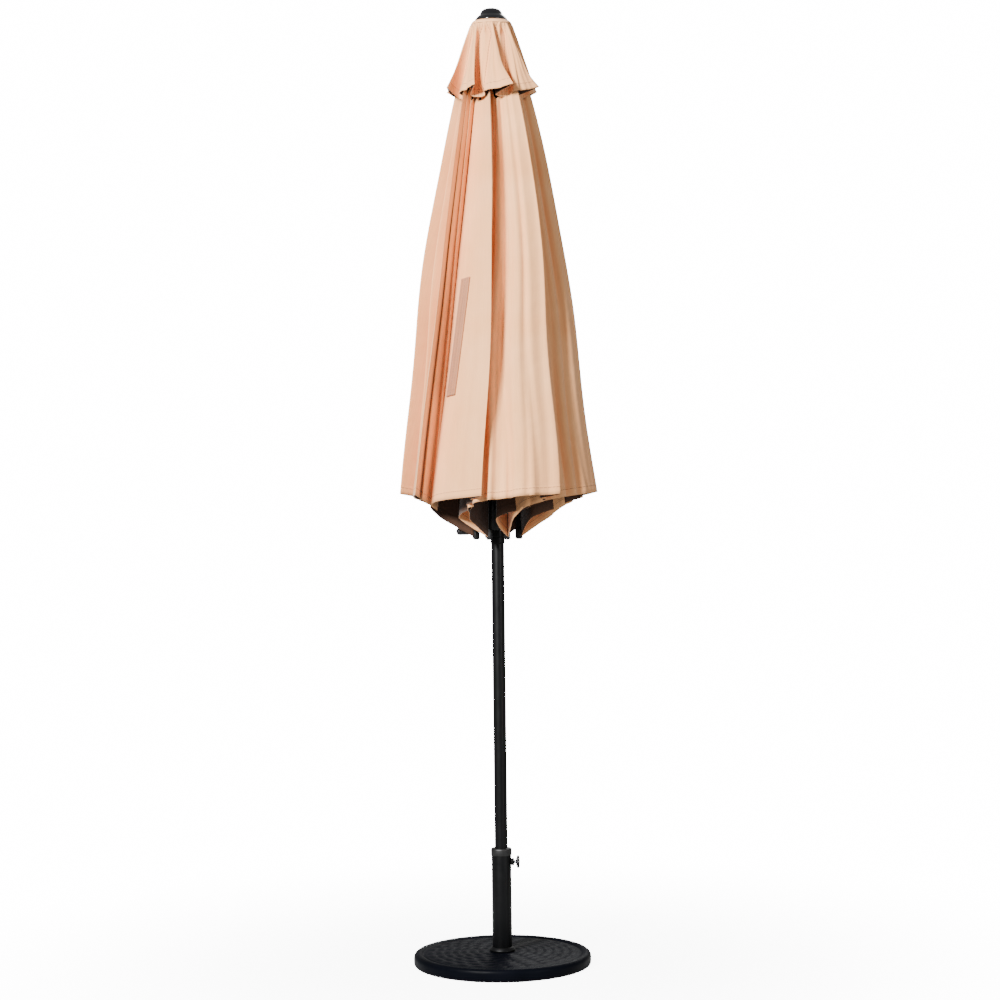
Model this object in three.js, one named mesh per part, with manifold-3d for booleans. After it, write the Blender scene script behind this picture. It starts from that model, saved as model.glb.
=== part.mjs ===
// Centre-pole market umbrella with a crank lift and a round weighted base, folded shut.
// Millimetres, +Z up, origin where the pole's axis meets the ground. -Y is the front.
import * as THREE from 'three';
import { mergeVertices } from 'three/addons/utils/BufferGeometryUtils.js';
import Module from 'manifold-3d';

const wasm = await Module();
wasm.setup();

// ---- driving dimensions -------------------------------------------------------------------
const GAP = 0.35;                    // clearance between pieces that touch

const PLATE_RADIUS = 229;            // weighted base disc
const PLATE_RIM_HEIGHT = 34;
const PLATE_RECESS = 22;             // hollow under the disc, inside its standing ring
const PLATE_MIDDLE_HEIGHT = 36;
const BOLT_HOLE_RADIUS = 7;

const STEM_RADIUS = 25.4;            // two-inch receiver tube
const STEM_WALL = 2;
const STEM_TOP = 297;
const STEM_CAP_TOP = 302.5;
const LOCK_HEIGHT = 266;             // thumb screw above the ground

const POLE_RADIUS = 16.5;
const POLE_WALL = 1.5;
const POLE_FOOT = 55;
const POLE_SPLIT = 1107;             // where the two pole halves meet, inside the coupler
const POLE_TOP = 2393;
const COUPLER_BOTTOM = 1088;
const COUPLER_TOP = 1123;

const CRANK_OPENING = 7;             // radius of the hole that the lift cord enters by
const CRANK_OPENING_HEIGHT = 1206;
const HOUSING_TOP = 1232;

const SIDES = 8;                     // ribs, struts and canopy panels
const FIRST_RIB_AZIMUTH = 24.5;      // degrees from +X, anticlockwise from above
const STEP_AZIMUTH = 360 / SIDES;
const CRANK_AZIMUTH = FIRST_RIB_AZIMUTH + 3.5 * STEP_AZIMUTH;

const PIVOT_RADIUS = 32;             // rib pivots on the hub, strut pivots on the runner
const HUB_HEIGHT = 2400;             // height of the rib pivots
const RIB_LENGTH = 1294;
const RIB_WIDTH = 10;
const RIB_DEPTH = 12;
const RIB_WALL = 1.2;
const STRUT_REACH = 560;             // strut pivot along the rib from the hub pivot
const STRUT_INSET = 12;              // strut pivot in from the rib's centre line
const STRUT_WIDTH = 6;
const STRUT_DEPTH = 10;
const PIN_RADIUS = 2;
const EYE_BORE = 2.8;
const STRUT_LENGTH = Math.hypot(STRUT_REACH, STRUT_INSET);
const RIB_LEAN = Math.atan(STRUT_INSET / STRUT_REACH);
const RUNNER_HEIGHT = HUB_HEIGHT - 2 * STRUT_LENGTH;

const HUB_RADIUS = 40;
const HUB_HALF = 16;
const RUNNER_RADIUS = 40;
const FINIAL_BASE = 2428;            // underside of the finial's flange
const FINIAL_TOP = 2460;
const FLANGE_RADIUS = 41.5;
const STUD_RADIUS = 5;                // threaded stud that the finial screws onto
const STUD_TOP = 2446;

const CRANK_HEIGHT = 1183;
const CRANK_ARM = 62;
const SPOOL_RADIUS = 7;
const CORD_RADIUS = 1.2;
const CORD_OFFSET = 22;              // outside run of the lift cord from the pole's axis
const PULLEY_RADIUS = 8;

const CANOPY_APEX = 2444.5;          // point the main canopy's lines meet in
const CANOPY_THICKNESS = 4;
const CANOPY_HEM_DROP = 1200;        // below the apex
const CANOPY_HEM_RADIUS = 258;
const STRAP_THICKNESS = 2;
const VENT_APEX = 2433;
const VENT_THICKNESS = 3;

// ---- small tools --------------------------------------------------------------------------
const radians = (degrees) => degrees * Math.PI / 180;

function finish(color, roughness, metalness = 0) {
  return new THREE.MeshStandardMaterial({ color, roughness, metalness });
}

const BLACK_METAL = finish('#1b1b1d', 0.45, 0.6);
const BASE_FINISH = finish('#17181f', 0.6, 0.4);
const BLACK_PLASTIC = finish('#141414', 0.35);
const ZINC = finish('#c9ccd0', 0.3, 1);
const CANVAS = finish('#dcb899', 0.9);
const CORD = finish('#e8e4da', 0.85);

function merged(geometry) {
  const bare = geometry.index ? geometry.clone() : geometry;
  bare.deleteAttribute('normal');
  bare.deleteAttribute('uv');
  return mergeVertices(bare, 1e-4);
}

function solid(geometry) {
  const closed = merged(geometry);
  return new wasm.Manifold(new wasm.Mesh({
    numProp: 3,
    vertProperties: new Float32Array(closed.attributes.position.array),
    triVerts: new Uint32Array(closed.index.array),
  }));
}

function geometryOf(manifold) {
  const mesh = manifold.getMesh();
  const geometry = new THREE.BufferGeometry();
  geometry.setAttribute('position', new THREE.BufferAttribute(mesh.vertProperties, 3));
  geometry.setIndex(new THREE.BufferAttribute(mesh.triVerts, 1));
  return geometry;
}

const joined = (...pieces) => pieces.reduce((sum, piece) => sum.add(piece));
const cut = (body, ...tools) => tools.reduce((rest, tool) => rest.subtract(tool), body);

// A solid of revolution about Z from [radius, height] points, listed anticlockwise.
function turned(points, segments = 32) {
  const profile = points.map(([radius, height]) => new THREE.Vector2(radius, height));
  return merged(new THREE.LatheGeometry(profile, segments).rotateX(Math.PI / 2));
}

// A tube or ring: outer and inner radius between two heights.
function ring(outer, inner, bottom, top, segments = 24) {
  return turned([[inner, bottom], [outer, bottom], [outer, top], [inner, top], [inner, bottom]],
    segments);
}

// A round bar between two points.
function bar(radius, from, to, segments = 12) {
  const start = new THREE.Vector3(...from);
  const along = new THREE.Vector3(...to).sub(start);
  const geometry = new THREE.CylinderGeometry(radius, radius, along.length(), segments);
  const turn = new THREE.Quaternion().setFromUnitVectors(
    new THREE.Vector3(0, 1, 0), along.clone().normalize());
  geometry.applyQuaternion(turn);
  geometry.translate(...start.addScaledVector(along, 0.5).toArray());
  return geometry;
}

// A block given by its lowest and highest corners.
function block([x0, y0, z0], [x1, y1, z1]) {
  const geometry = new THREE.BoxGeometry(x1 - x0, y1 - y0, z1 - z0);
  return geometry.translate((x0 + x1) / 2, (y0 + y1) / 2, (z0 + z1) / 2);
}

// A closed solid between an outer and an inner grid of points, rows from top to bottom and
// columns anticlockwise seen from above.
function shell(outerRows, innerRows) {
  const rows = outerRows.length;
  const columns = outerRows[0].length;
  const positions = [...outerRows.flat(), ...innerRows.flat()].flat();
  const outer = (row, column) => row * columns + column;
  const inner = (row, column) => rows * columns + outer(row, column);
  const faces = [];
  const quad = (a, b, c, d) => faces.push(a, b, c, a, c, d);
  for (let row = 0; row + 1 < rows; row += 1) {
    for (let column = 0; column + 1 < columns; column += 1) {
      quad(outer(row, column), outer(row + 1, column),
        outer(row + 1, column + 1), outer(row, column + 1));
      quad(inner(row, column), inner(row, column + 1),
        inner(row + 1, column + 1), inner(row + 1, column));
    }
    const last = columns - 1;
    quad(outer(row, 0), inner(row, 0), inner(row + 1, 0), outer(row + 1, 0));
    quad(outer(row, last), outer(row + 1, last), inner(row + 1, last), inner(row, last));
  }
  for (let column = 0; column + 1 < columns; column += 1) {
    quad(outer(0, column), outer(0, column + 1), inner(0, column + 1), inner(0, column));
    const last = rows - 1;
    quad(outer(last, column), inner(last, column),
      inner(last, column + 1), outer(last, column + 1));
  }
  const geometry = new THREE.BufferGeometry();
  geometry.setAttribute('position', new THREE.Float32BufferAttribute(positions, 3));
  geometry.setIndex(faces);
  return geometry;
}

const umbrella = new THREE.Group();

function add(name, geometry, material, parent = umbrella) {
  const mesh = new THREE.Mesh(geometry.index ? geometry : merged(geometry), material);
  mesh.name = name;
  parent.add(mesh);
  return mesh;
}

// A group turned to an azimuth, whose +X then points outward that way.
function facing(azimuth, parent = umbrella) {
  const group = new THREE.Group();
  group.rotation.z = radians(azimuth);
  parent.add(group);
  return group;
}

// ---- base and receiver stem ---------------------------------------------------------------
function buildBase() {
  const rim = PLATE_RIM_HEIGHT;
  const boltHole = BOLT_HOLE_RADIUS;
  add('base_plate', turned([
    [boltHole, PLATE_RECESS], [190, PLATE_RECESS], [200, 0], [221, 0], [226, 2], [PLATE_RADIUS, 7],
    [PLATE_RADIUS, rim - 11], [227, rim - 5], [222, rim - 1], [215, rim], [209, rim - 1.5],
    [205, rim - 4], [150, rim - 1], [70, PLATE_MIDDLE_HEIGHT - 0.5],
    [boltHole, PLATE_MIDDLE_HEIGHT], [boltHole, PLATE_RECESS],
  ], 48), BASE_FINISH);
  const floor = PLATE_MIDDLE_HEIGHT + GAP;
  add('weld_flange', turned([
    [STEM_RADIUS + GAP, floor], [33, floor], [33, floor + 4], [28, floor + 10],
    [STEM_RADIUS + GAP, floor + 11], [STEM_RADIUS + GAP, floor],
  ]), BLACK_METAL);
  const inner = STEM_RADIUS - STEM_WALL;
  const tube = solid(turned([
    [boltHole, floor], [STEM_RADIUS, floor], [STEM_RADIUS, STEM_TOP], [inner, STEM_TOP],
    [inner, floor + 5], [boltHole, floor + 5], [boltHole, floor],
  ]));
  const screwHole = solid(bar(5.2, [10, 0, LOCK_HEIGHT], [40, 0, LOCK_HEIGHT]));
  add('stem_tube', geometryOf(cut(tube, screwHole)), BLACK_METAL);
  add('stem_cap', turned([
    [POLE_RADIUS + GAP, 274], [inner - GAP, 274], [inner - GAP, STEM_TOP + GAP],
    [STEM_RADIUS + GAP, STEM_TOP + GAP], [STEM_RADIUS + GAP, 284], [26.8, 284],
    [26.8, STEM_CAP_TOP - 2], [25, STEM_CAP_TOP], [POLE_RADIUS + GAP, STEM_CAP_TOP],
    [POLE_RADIUS + GAP, 274],
  ]), BLACK_PLASTIC);
  const head = solid(bar(10, [0, 0, PLATE_RECESS - 7], [0, 0, PLATE_RECESS - GAP], 6));
  const shank = solid(bar(5.8, [0, 0, PLATE_RECESS - 5], [0, 0, 51]));
  add('base_bolt', geometryOf(joined(head, shank)), ZINC);
  const nutFloor = floor + 5 + GAP;
  const nut = cut(solid(bar(10.5, [0, 0, nutFloor], [0, 0, nutFloor + 8], 6)),
    solid(bar(6.2, [0, 0, nutFloor - 5], [0, 0, nutFloor + 15])));
  add('base_nut', geometryOf(nut), ZINC);
}

function buildLockScrew() {
  const z = LOCK_HEIGHT;
  const nut = cut(solid(bar(9.8, [20, 0, z], [33, 0, z], 6)),
    solid(ring(STEM_RADIUS + GAP, 5, z - 30, z + 30, 48)),
    solid(bar(4.6, [10, 0, z], [45, 0, z])));
  add('lock_nut', geometryOf(nut), BLACK_METAL);
  add('lock_screw', merged(bar(4, [POLE_RADIUS + GAP, 0, z], [48, 0, z], 16)), ZINC);
  const outline = new THREE.Shape();
  const lobes = 6;
  const points = lobes * 6;
  for (let i = 0; i < points; i += 1) {
    const angle = (i / points) * 2 * Math.PI;
    const radius = 15.2 + 1.4 * Math.cos(lobes * angle);
    outline[i ? 'lineTo' : 'moveTo'](radius * Math.cos(angle), radius * Math.sin(angle));
  }
  outline.closePath();
  const knob = new THREE.ExtrudeGeometry(outline, {
    depth: 6.5, bevelThickness: 1.5, bevelSize: 1.2, bevelSegments: 1, steps: 1,
  });
  knob.rotateY(Math.PI / 2).translate(39, 0, z);
  add('lock_knob', geometryOf(cut(solid(knob), solid(bar(4.4, [30, 0, z], [60, 0, z], 16)))),
    BLACK_PLASTIC);
}

// ---- pole ---------------------------------------------------------------------------------
function buildPole() {
  const inner = POLE_RADIUS - POLE_WALL;
  add('pole_foot', turned([
    [0, POLE_FOOT - 2.5], [POLE_RADIUS, POLE_FOOT - 2.5], [POLE_RADIUS, POLE_FOOT - GAP],
    [inner - GAP, POLE_FOOT - GAP], [inner - GAP, 75], [0, 75],
  ], 24), BLACK_PLASTIC);
  add('lower_pole', ring(POLE_RADIUS, inner, POLE_FOOT, POLE_SPLIT - GAP), BLACK_METAL);
  add('pole_spigot', ring(inner - GAP, inner - 2, 1050, 1150), BLACK_METAL);
  add('pole_coupler', turned([
    [POLE_RADIUS + GAP, COUPLER_BOTTOM], [17.3, COUPLER_BOTTOM], [18.2, COUPLER_BOTTOM + 4],
    [18.2, COUPLER_TOP], [POLE_RADIUS + GAP, COUPLER_TOP], [POLE_RADIUS + GAP, COUPLER_BOTTOM],
  ]), BLACK_METAL);
  const tube = solid(ring(POLE_RADIUS, inner, POLE_SPLIT, POLE_TOP));
  const turn = radians(CRANK_AZIMUTH);
  const cordHole = bar(CRANK_OPENING, [5, 0, CRANK_OPENING_HEIGHT],
    [30, 0, CRANK_OPENING_HEIGHT]).rotateZ(turn + 0.3);
  add('upper_pole', geometryOf(cut(tube, solid(cordHole))), BLACK_METAL);
}

// ---- crank, spool and lift cord -----------------------------------------------------------
function buildCrank() {
  const side = facing(CRANK_AZIMUTH);
  const z = CRANK_HEIGHT;
  const housing = cut(
    joined(solid(bar(22.5, [0, 0, COUPLER_TOP + GAP], [0, 0, HOUSING_TOP], 32)),
      solid(block([0, -17, z - 45], [33, 17, z + 39]))),
    solid(bar(POLE_RADIUS + GAP, [0, 0, 1100], [0, 0, 1260], 32)),
    solid(block([8, -13.5, z - 31], [29, 13.5, z + 29])),
    solid(bar(5.6, [20, 0, z], [40, 0, z])));
  add('crank_housing', geometryOf(housing), BLACK_PLASTIC, side);
  const spool = cut(
    joined(solid(bar(12, [18.4, 0, z], [20, 0, z], 20)),
      solid(bar(SPOOL_RADIUS, [19, 0, z], [27, 0, z], 16)),
      solid(bar(12, [26.4, 0, z], [28, 0, z], 20))),
    solid(bar(5.2, [10, 0, z], [40, 0, z], 16)));
  add('winding_spool', geometryOf(spool), BLACK_PLASTIC, side);
  const low = z - CRANK_ARM;
  const arm = joined(solid(bar(4.8, [18.6, 0, z], [66, 0, z])),
    solid(bar(9, [63, 0, z], [73, 0, z], 16)),
    solid(block([65, -7, low], [73, 7, z])),
    solid(bar(8, [65, 0, low], [73, 0, low], 16)),
    solid(bar(3, [70, 0, low], [106, 0, low])));
  add('crank_arm', geometryOf(arm), BLACK_METAL, side);
  const grip = turned([
    [3.4, 0], [8, 0], [9.5, 3], [9.8, 16], [8.6, 27], [6, 31], [3.4, 31], [3.4, 0],
  ], 20);
  add('crank_grip', grip.rotateY(Math.PI / 2).translate(73.5, 0, low), BLACK_PLASTIC, side);
}

// A round cord through the points, with the same number of steps between each two of them.
function cordTube(points, stepsPerSpan) {
  const path = new THREE.CatmullRomCurve3(points.map((point) => new THREE.Vector3(...point)));
  path.getPointAt = path.getPoint;
  path.getTangentAt = path.getTangent;
  const steps = stepsPerSpan * (points.length - 1);
  const outline = new THREE.Shape();
  outline.absarc(0, 0, CORD_RADIUS, 0, 2 * Math.PI);
  return merged(new THREE.ExtrudeGeometry(outline, {
    curveSegments: 4, steps, bevelEnabled: false, extrudePath: path,
  }));
}

function buildLiftCord() {
  const side = facing(CRANK_AZIMUTH);
  const lift = 4;
  add('lift_cord_inner', cordTube([
    [23, 9.5, 1184], [22, 9, 1195], [14, 4.2, 1207], [lift, 0, 1235], [lift, 0, 1600],
    [lift, 0, 2000], [lift, 0, 2390],
  ], 4), CORD, side);
  add('lift_cord_outer', cordTube([
    [CORD_OFFSET, 0, HUB_HEIGHT - HUB_HALF - 1], [CORD_OFFSET, 0, 1800],
    [CORD_OFFSET, 0, RUNNER_HEIGHT + 34],
  ], 2), CORD, side);
  const axle = [CORD_OFFSET - PULLEY_RADIUS - CORD_RADIUS, HUB_HEIGHT + 1];
  const wheel = turned([
    [1.9, -2], [PULLEY_RADIUS, -2], [PULLEY_RADIUS - 1.4, 0], [PULLEY_RADIUS, 2], [1.9, 2],
    [1.9, -2],
  ], 20).rotateX(Math.PI / 2);
  add('cord_pulley', wheel.translate(axle[0], 0, axle[1]), BLACK_PLASTIC, side);
}

// ---- hub, runner, finial ------------------------------------------------------------------
function slots(width, innerRadius, outerRadius, bottom, top) {
  return Array.from({ length: SIDES }, (_, i) => solid(
    block([innerRadius, -width / 2, bottom], [outerRadius, width / 2, top])
      .rotateZ(radians(FIRST_RIB_AZIMUTH + i * STEP_AZIMUTH))));
}

function buildHub() {
  const bottom = HUB_HEIGHT - HUB_HALF;
  const top = HUB_HEIGHT + HUB_HALF;
  const turn = radians(CRANK_AZIMUTH);
  const axleX = CORD_OFFSET - PULLEY_RADIUS - CORD_RADIUS;
  const body = cut(solid(turned([
    [0, bottom], [HUB_RADIUS - 2, bottom], [HUB_RADIUS, bottom + 2], [HUB_RADIUS, top - 4],
    [HUB_RADIUS - 4, top], [STUD_RADIUS, top], [STUD_RADIUS, STUD_TOP], [0, STUD_TOP],
  ], 32)),
  solid(bar(POLE_RADIUS + GAP, [0, 0, bottom - 5], [0, 0, POLE_TOP + GAP], 24)),
  solid(block([-3, -3.2, POLE_TOP - 2], [25, 3.2, top - 4]).rotateZ(turn)),
  ...slots(RIB_WIDTH + 0.9, 22, 50, bottom - 5, top + 5));
  const pins = Array.from({ length: SIDES }, (_, i) => solid(
    bar(PIN_RADIUS, [PIVOT_RADIUS, -7, HUB_HEIGHT], [PIVOT_RADIUS, 7, HUB_HEIGHT], 10)
      .rotateZ(radians(FIRST_RIB_AZIMUTH + i * STEP_AZIMUTH))));
  const axle = solid(bar(1.5, [axleX, -5, HUB_HEIGHT + 1], [axleX, 5, HUB_HEIGHT + 1], 10)
    .rotateZ(turn));
  add('top_hub', geometryOf(joined(body, ...pins, axle)), BLACK_PLASTIC);
  const bore = STUD_RADIUS + 0.4;
  add('canopy_clamp', ring(30, bore, top + GAP, top + 4), BLACK_PLASTIC);
  add('vent_spacer', ring(16, bore, top + 4 + GAP, FINIAL_BASE - 2), BLACK_PLASTIC);
  add('finial', turned([
    [0, STUD_TOP + 1.5], [bore, STUD_TOP + 1.5], [bore, FINIAL_BASE],
    [FLANGE_RADIUS, FINIAL_BASE], [FLANGE_RADIUS, FINIAL_BASE + 2.6],
    [36.4, FINIAL_BASE + 9], [29.5, FINIAL_BASE + 14.5], [28.4, FINIAL_BASE + 17],
    [27, FINIAL_BASE + 21], [24, FINIAL_BASE + 25.5], [18.5, FINIAL_BASE + 29],
    [10, FINIAL_TOP - 0.8], [0, FINIAL_TOP],
  ], 32), BLACK_PLASTIC);
}

function buildRunner() {
  const bottom = RUNNER_HEIGHT - 34;
  const top = RUNNER_HEIGHT + 30;
  const channel = bar(2.6, [CORD_OFFSET, 0, bottom - 5], [CORD_OFFSET, 0, top + 5], 10);
  const body = cut(solid(turned([
    [POLE_RADIUS + 0.7, bottom], [26, bottom], [30, bottom + 10], [RUNNER_RADIUS, bottom + 20],
    [RUNNER_RADIUS, top - 14], [34, top - 4], [24, top], [POLE_RADIUS + 0.7, top],
    [POLE_RADIUS + 0.7, bottom],
  ], 32)), ...slots(STRUT_WIDTH + 1.6, 25, 50, bottom - 5, top + 5),
  solid(channel.rotateZ(radians(CRANK_AZIMUTH))));
  add('runner', geometryOf(body), BLACK_PLASTIC);
}

// ---- ribs and struts ----------------------------------------------------------------------
// The rib hangs down -Z from its hub pivot at the origin; +X is outward.
function ribGeometry() {
  const outline = new THREE.Shape();
  const w = RIB_DEPTH / 2;
  const h = RIB_WIDTH / 2;
  const c = 2;
  [[w, h - c], [w - c, h], [c - w, h], [-w, h - c], [-w, c - h], [c - w, -h], [w - c, -h],
    [w, c - h]].forEach(([x, y], i) => outline[i ? 'lineTo' : 'moveTo'](x, y));
  outline.closePath();
  const hole = new THREE.Path();
  const [iw, ih] = [w - RIB_WALL, h - RIB_WALL];
  [[iw, ih], [iw, -ih], [-iw, -ih], [-iw, ih]]
    .forEach(([x, y], i) => hole[i ? 'lineTo' : 'moveTo'](x, y));
  hole.closePath();
  outline.holes.push(hole);
  const tube = new THREE.ExtrudeGeometry(outline, {
    depth: RIB_LENGTH - 16, steps: 1, bevelEnabled: false,
  }).translate(0, 0, -RIB_LENGTH);
  const pivotX = -STRUT_INSET;
  const cheek = (side) => solid(bracketCheek(pivotX, side));
  return geometryOf(cut(
    joined(solid(tube), solid(block([-4.5, -h + 1, -30], [4.5, h - 1, -1])),
      solid(bar(5.8, [0, -h, 0], [0, h, 0], 16)), cheek(-1), cheek(1),
      solid(bar(PIN_RADIUS, [pivotX, -6, -STRUT_REACH], [pivotX, 6, -STRUT_REACH], 10))),
    solid(bar(EYE_BORE, [0, -10, 0], [0, 10, 0], 14))));
}

// One cheek of the strut bracket, on the rib's inner side.
function bracketCheek(pivotX, side) {
  const inner = STRUT_WIDTH / 2 + 0.5;
  const [low, high] = side < 0 ? [-inner - 2.6, -inner] : [inner, inner + 2.6];
  return block([pivotX - 5, low, -STRUT_REACH - 7], [-2, high, -STRUT_REACH + 7]);
}

// The strut hangs down -Z from its rib pivot at the origin.
function strutGeometry() {
  const r = STRUT_DEPTH / 2;
  const outline = new THREE.Shape();
  outline.absarc(0, 0, r, 0, Math.PI);
  outline.absarc(0, -STRUT_LENGTH, r, Math.PI, 2 * Math.PI);
  [0, -STRUT_LENGTH].forEach((y) => {
    const hole = new THREE.Path();
    hole.absarc(0, y, EYE_BORE, 0, 2 * Math.PI, true);
    outline.holes.push(hole);
  });
  const flat = new THREE.ExtrudeGeometry(outline, {
    depth: STRUT_WIDTH, steps: 1, curveSegments: 5, bevelEnabled: false,
  });
  return merged(flat.translate(0, 0, -STRUT_WIDTH / 2).rotateX(Math.PI / 2));
}

function buildFrame() {
  const rib = ribGeometry();
  const strut = strutGeometry();
  for (let i = 0; i < SIDES; i += 1) {
    const side = facing(FIRST_RIB_AZIMUTH + i * STEP_AZIMUTH);
    const ribMesh = add(`rib_${i + 1}`, rib, BLACK_METAL, side);
    ribMesh.position.set(PIVOT_RADIUS, 0, HUB_HEIGHT);
    ribMesh.rotation.y = -RIB_LEAN;
    const strutMesh = add(`strut_${i + 1}`, strut, BLACK_METAL, side);
    strutMesh.position.set(PIVOT_RADIUS, 0, HUB_HEIGHT - STRUT_LENGTH);
  }
}

// ---- folded canopy ------------------------------------------------------------------------
// Outer radius of the folded canopy, a given drop below its apex.
function canopyRadius(drop) {
  return CANOPY_HEM_RADIUS * (drop / CANOPY_HEM_DROP) ** 0.54;
}

// Outer radius of the folded vent skirt, which flares at its hem.
function ventRadius(drop) {
  return Math.min(27 + 1.4 * drop, 47 + 0.36 * drop + 12 * (drop / 170) ** 5);
}

// Rows of points of one blade: each column is [degrees from the panel's middle, part of radius].
function bladeRows(middle, apex, drops, radiusAt, columns, inset) {
  return drops.map((drop) => columns.map(([offset, part]) => {
    const radius = radiusAt(drop) * part - inset;
    const azimuth = radians(middle + offset);
    return [radius * Math.cos(azimuth), radius * Math.sin(azimuth), apex - drop];
  }));
}

function buildCanopy() {
  const drops = [170, 250, 370, 520, 700, 900, 1060, CANOPY_HEM_DROP];
  const wrap = [[-19, 0.7], [-2, 0.76], [16, 0.82], [30, 0.91], [38, 1]];
  const ventDrops = [6, 18, 45, 80, 115, 145, 165];
  const petal = [[-21.5, 0.95], [-8, 1], [8, 1], [21.5, 0.95]];
  for (let i = 0; i < SIDES; i += 1) {
    const middle = FIRST_RIB_AZIMUTH + (i + 0.5) * STEP_AZIMUTH;
    const rows = (inset) => bladeRows(middle, CANOPY_APEX, drops, canopyRadius, wrap, inset);
    add(`canopy_panel_${i + 1}`, shell(rows(0), rows(CANOPY_THICKNESS)), CANVAS);
    const flute = (inset) => bladeRows(middle, VENT_APEX, ventDrops, ventRadius, petal, inset);
    add(`vent_panel_${i + 1}`, shell(flute(0), flute(VENT_THICKNESS)), CANVAS);
  }
  const strapMiddle = FIRST_RIB_AZIMUTH + 4.5 * STEP_AZIMUTH;
  const strapDrops = [680, 780, 880, 980];
  const strap = (inset) => strapDrops.map((drop) => [-5, 5].map((offset) => {
    const slide = 3 - 11 * (drop - strapDrops[0]) / 300;
    const radius = canopyRadius(drop) * (0.78 + 0.0035 * slide) + 9 - inset;
    const azimuth = radians(strapMiddle + slide + offset);
    return [radius * Math.cos(azimuth), radius * Math.sin(azimuth), CANOPY_APEX - drop];
  }));
  add('tie_strap', shell(strap(0), strap(STRAP_THICKNESS)), CANVAS);
}

buildBase();
buildLockScrew();
buildPole();
buildCrank();
buildLiftCord();
buildHub();
buildRunner();
buildFrame();
buildCanopy();

export default umbrella;
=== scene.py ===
"""Patio umbrella with its weighted base, folded shut: the finished surface of every piece.

Metres, +Z up, origin on the ground under the pole's axis. -Y is the front, +X the thumb screw.
Profiles of turned pieces are listed in millimetres, as on a drawing.
"""
from __future__ import annotations

import logging
import math
from collections.abc import Callable, Iterable, Sequence
from dataclasses import dataclass, field
from enum import Enum
from typing import Any

import bpy
import numpy as np
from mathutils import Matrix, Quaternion, Vector

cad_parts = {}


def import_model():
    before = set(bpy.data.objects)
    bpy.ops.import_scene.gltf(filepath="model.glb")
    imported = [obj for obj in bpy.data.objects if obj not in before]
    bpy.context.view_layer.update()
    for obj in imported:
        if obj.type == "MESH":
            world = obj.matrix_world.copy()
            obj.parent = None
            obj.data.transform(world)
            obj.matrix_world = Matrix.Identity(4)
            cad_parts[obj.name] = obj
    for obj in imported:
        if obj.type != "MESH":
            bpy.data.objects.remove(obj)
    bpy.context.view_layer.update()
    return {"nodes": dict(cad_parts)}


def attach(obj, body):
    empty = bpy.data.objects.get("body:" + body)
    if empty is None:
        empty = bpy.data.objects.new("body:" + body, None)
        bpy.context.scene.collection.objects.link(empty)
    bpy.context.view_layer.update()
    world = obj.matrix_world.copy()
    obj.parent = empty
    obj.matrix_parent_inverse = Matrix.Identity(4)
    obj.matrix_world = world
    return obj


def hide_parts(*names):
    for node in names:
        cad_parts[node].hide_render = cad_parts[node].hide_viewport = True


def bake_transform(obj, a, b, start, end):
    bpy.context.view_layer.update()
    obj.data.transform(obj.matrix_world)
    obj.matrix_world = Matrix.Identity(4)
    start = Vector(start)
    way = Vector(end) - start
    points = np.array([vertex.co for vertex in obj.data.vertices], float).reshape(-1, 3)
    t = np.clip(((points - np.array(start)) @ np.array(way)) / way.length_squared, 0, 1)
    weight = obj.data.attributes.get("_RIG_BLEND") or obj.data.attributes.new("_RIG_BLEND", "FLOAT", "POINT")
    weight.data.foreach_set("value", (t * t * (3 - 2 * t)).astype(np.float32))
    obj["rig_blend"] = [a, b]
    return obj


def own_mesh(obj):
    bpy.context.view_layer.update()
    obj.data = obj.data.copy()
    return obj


LOG = logging.getLogger("umbrella")

MM = 0.001
SIDES = 8
FIRST_RIB_AZIMUTH = 24.5            # degrees from +X, anticlockwise from above
STEP_AZIMUTH = 360.0 / SIDES
HALF_SIDE = math.radians(STEP_AZIMUTH / 2)
FOLD_TURN = math.radians(170.0)     # what a panel's fold body turns over the runner's travel
WAVE_SCALE = 0.3142                 # a wave texture's scale times its crests' spacing in metres
SINE_LIMIT = 0.97                   # of a fold's reach that any point may lie to the side
CREST_LIMIT = 0.93                  # of its reach that the outermost fold may
SOFT_FOLDS = ((12.5, 0.7, 0.5), (20.5, -1.1, 0.34), (33.0, 1.6, 0.2))  # pitch, drift, weight
VALLEY = 0.45                       # width of the valleys between soft folds, as a sine

Profile = list[tuple[float, float]]
Grid = np.ndarray


class Slot(Enum):
    """The record's material slots."""

    BASE_COAT = "base_coat"
    BLACK_METAL = "black_metal"
    BLACK_PLASTIC = "black_plastic"
    ZINC = "zinc"
    CANVAS = "canvas"
    CORD = "cord"


class Ends(Enum):
    """How a turned piece closes at the two ends of its profile."""

    CAPPED = "capped"       # a face over the first and the last ring
    RING = "ring"           # the profile comes back to its first point: a tube wall
    OPEN = "open"           # bare edges, as on a sheet of cloth


# ---- small tools ----------------------------------------------------------------------------
def linear(colour: str) -> tuple[float, float, float, float]:
    """Turns an sRGB hex colour to linear RGBA.

    Args:
        colour: six hex digits after a hash.

    Returns:
        The linear colour, with alpha 1.
    """
    parts = [int(colour[i:i + 2], 16) / 255 for i in (1, 3, 5)]
    red, green, blue = (
        c / 12.92 if c <= 0.04045 else ((c + 0.055) / 1.055) ** 2.4 for c in parts)
    return red, green, blue, 1.0


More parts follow.
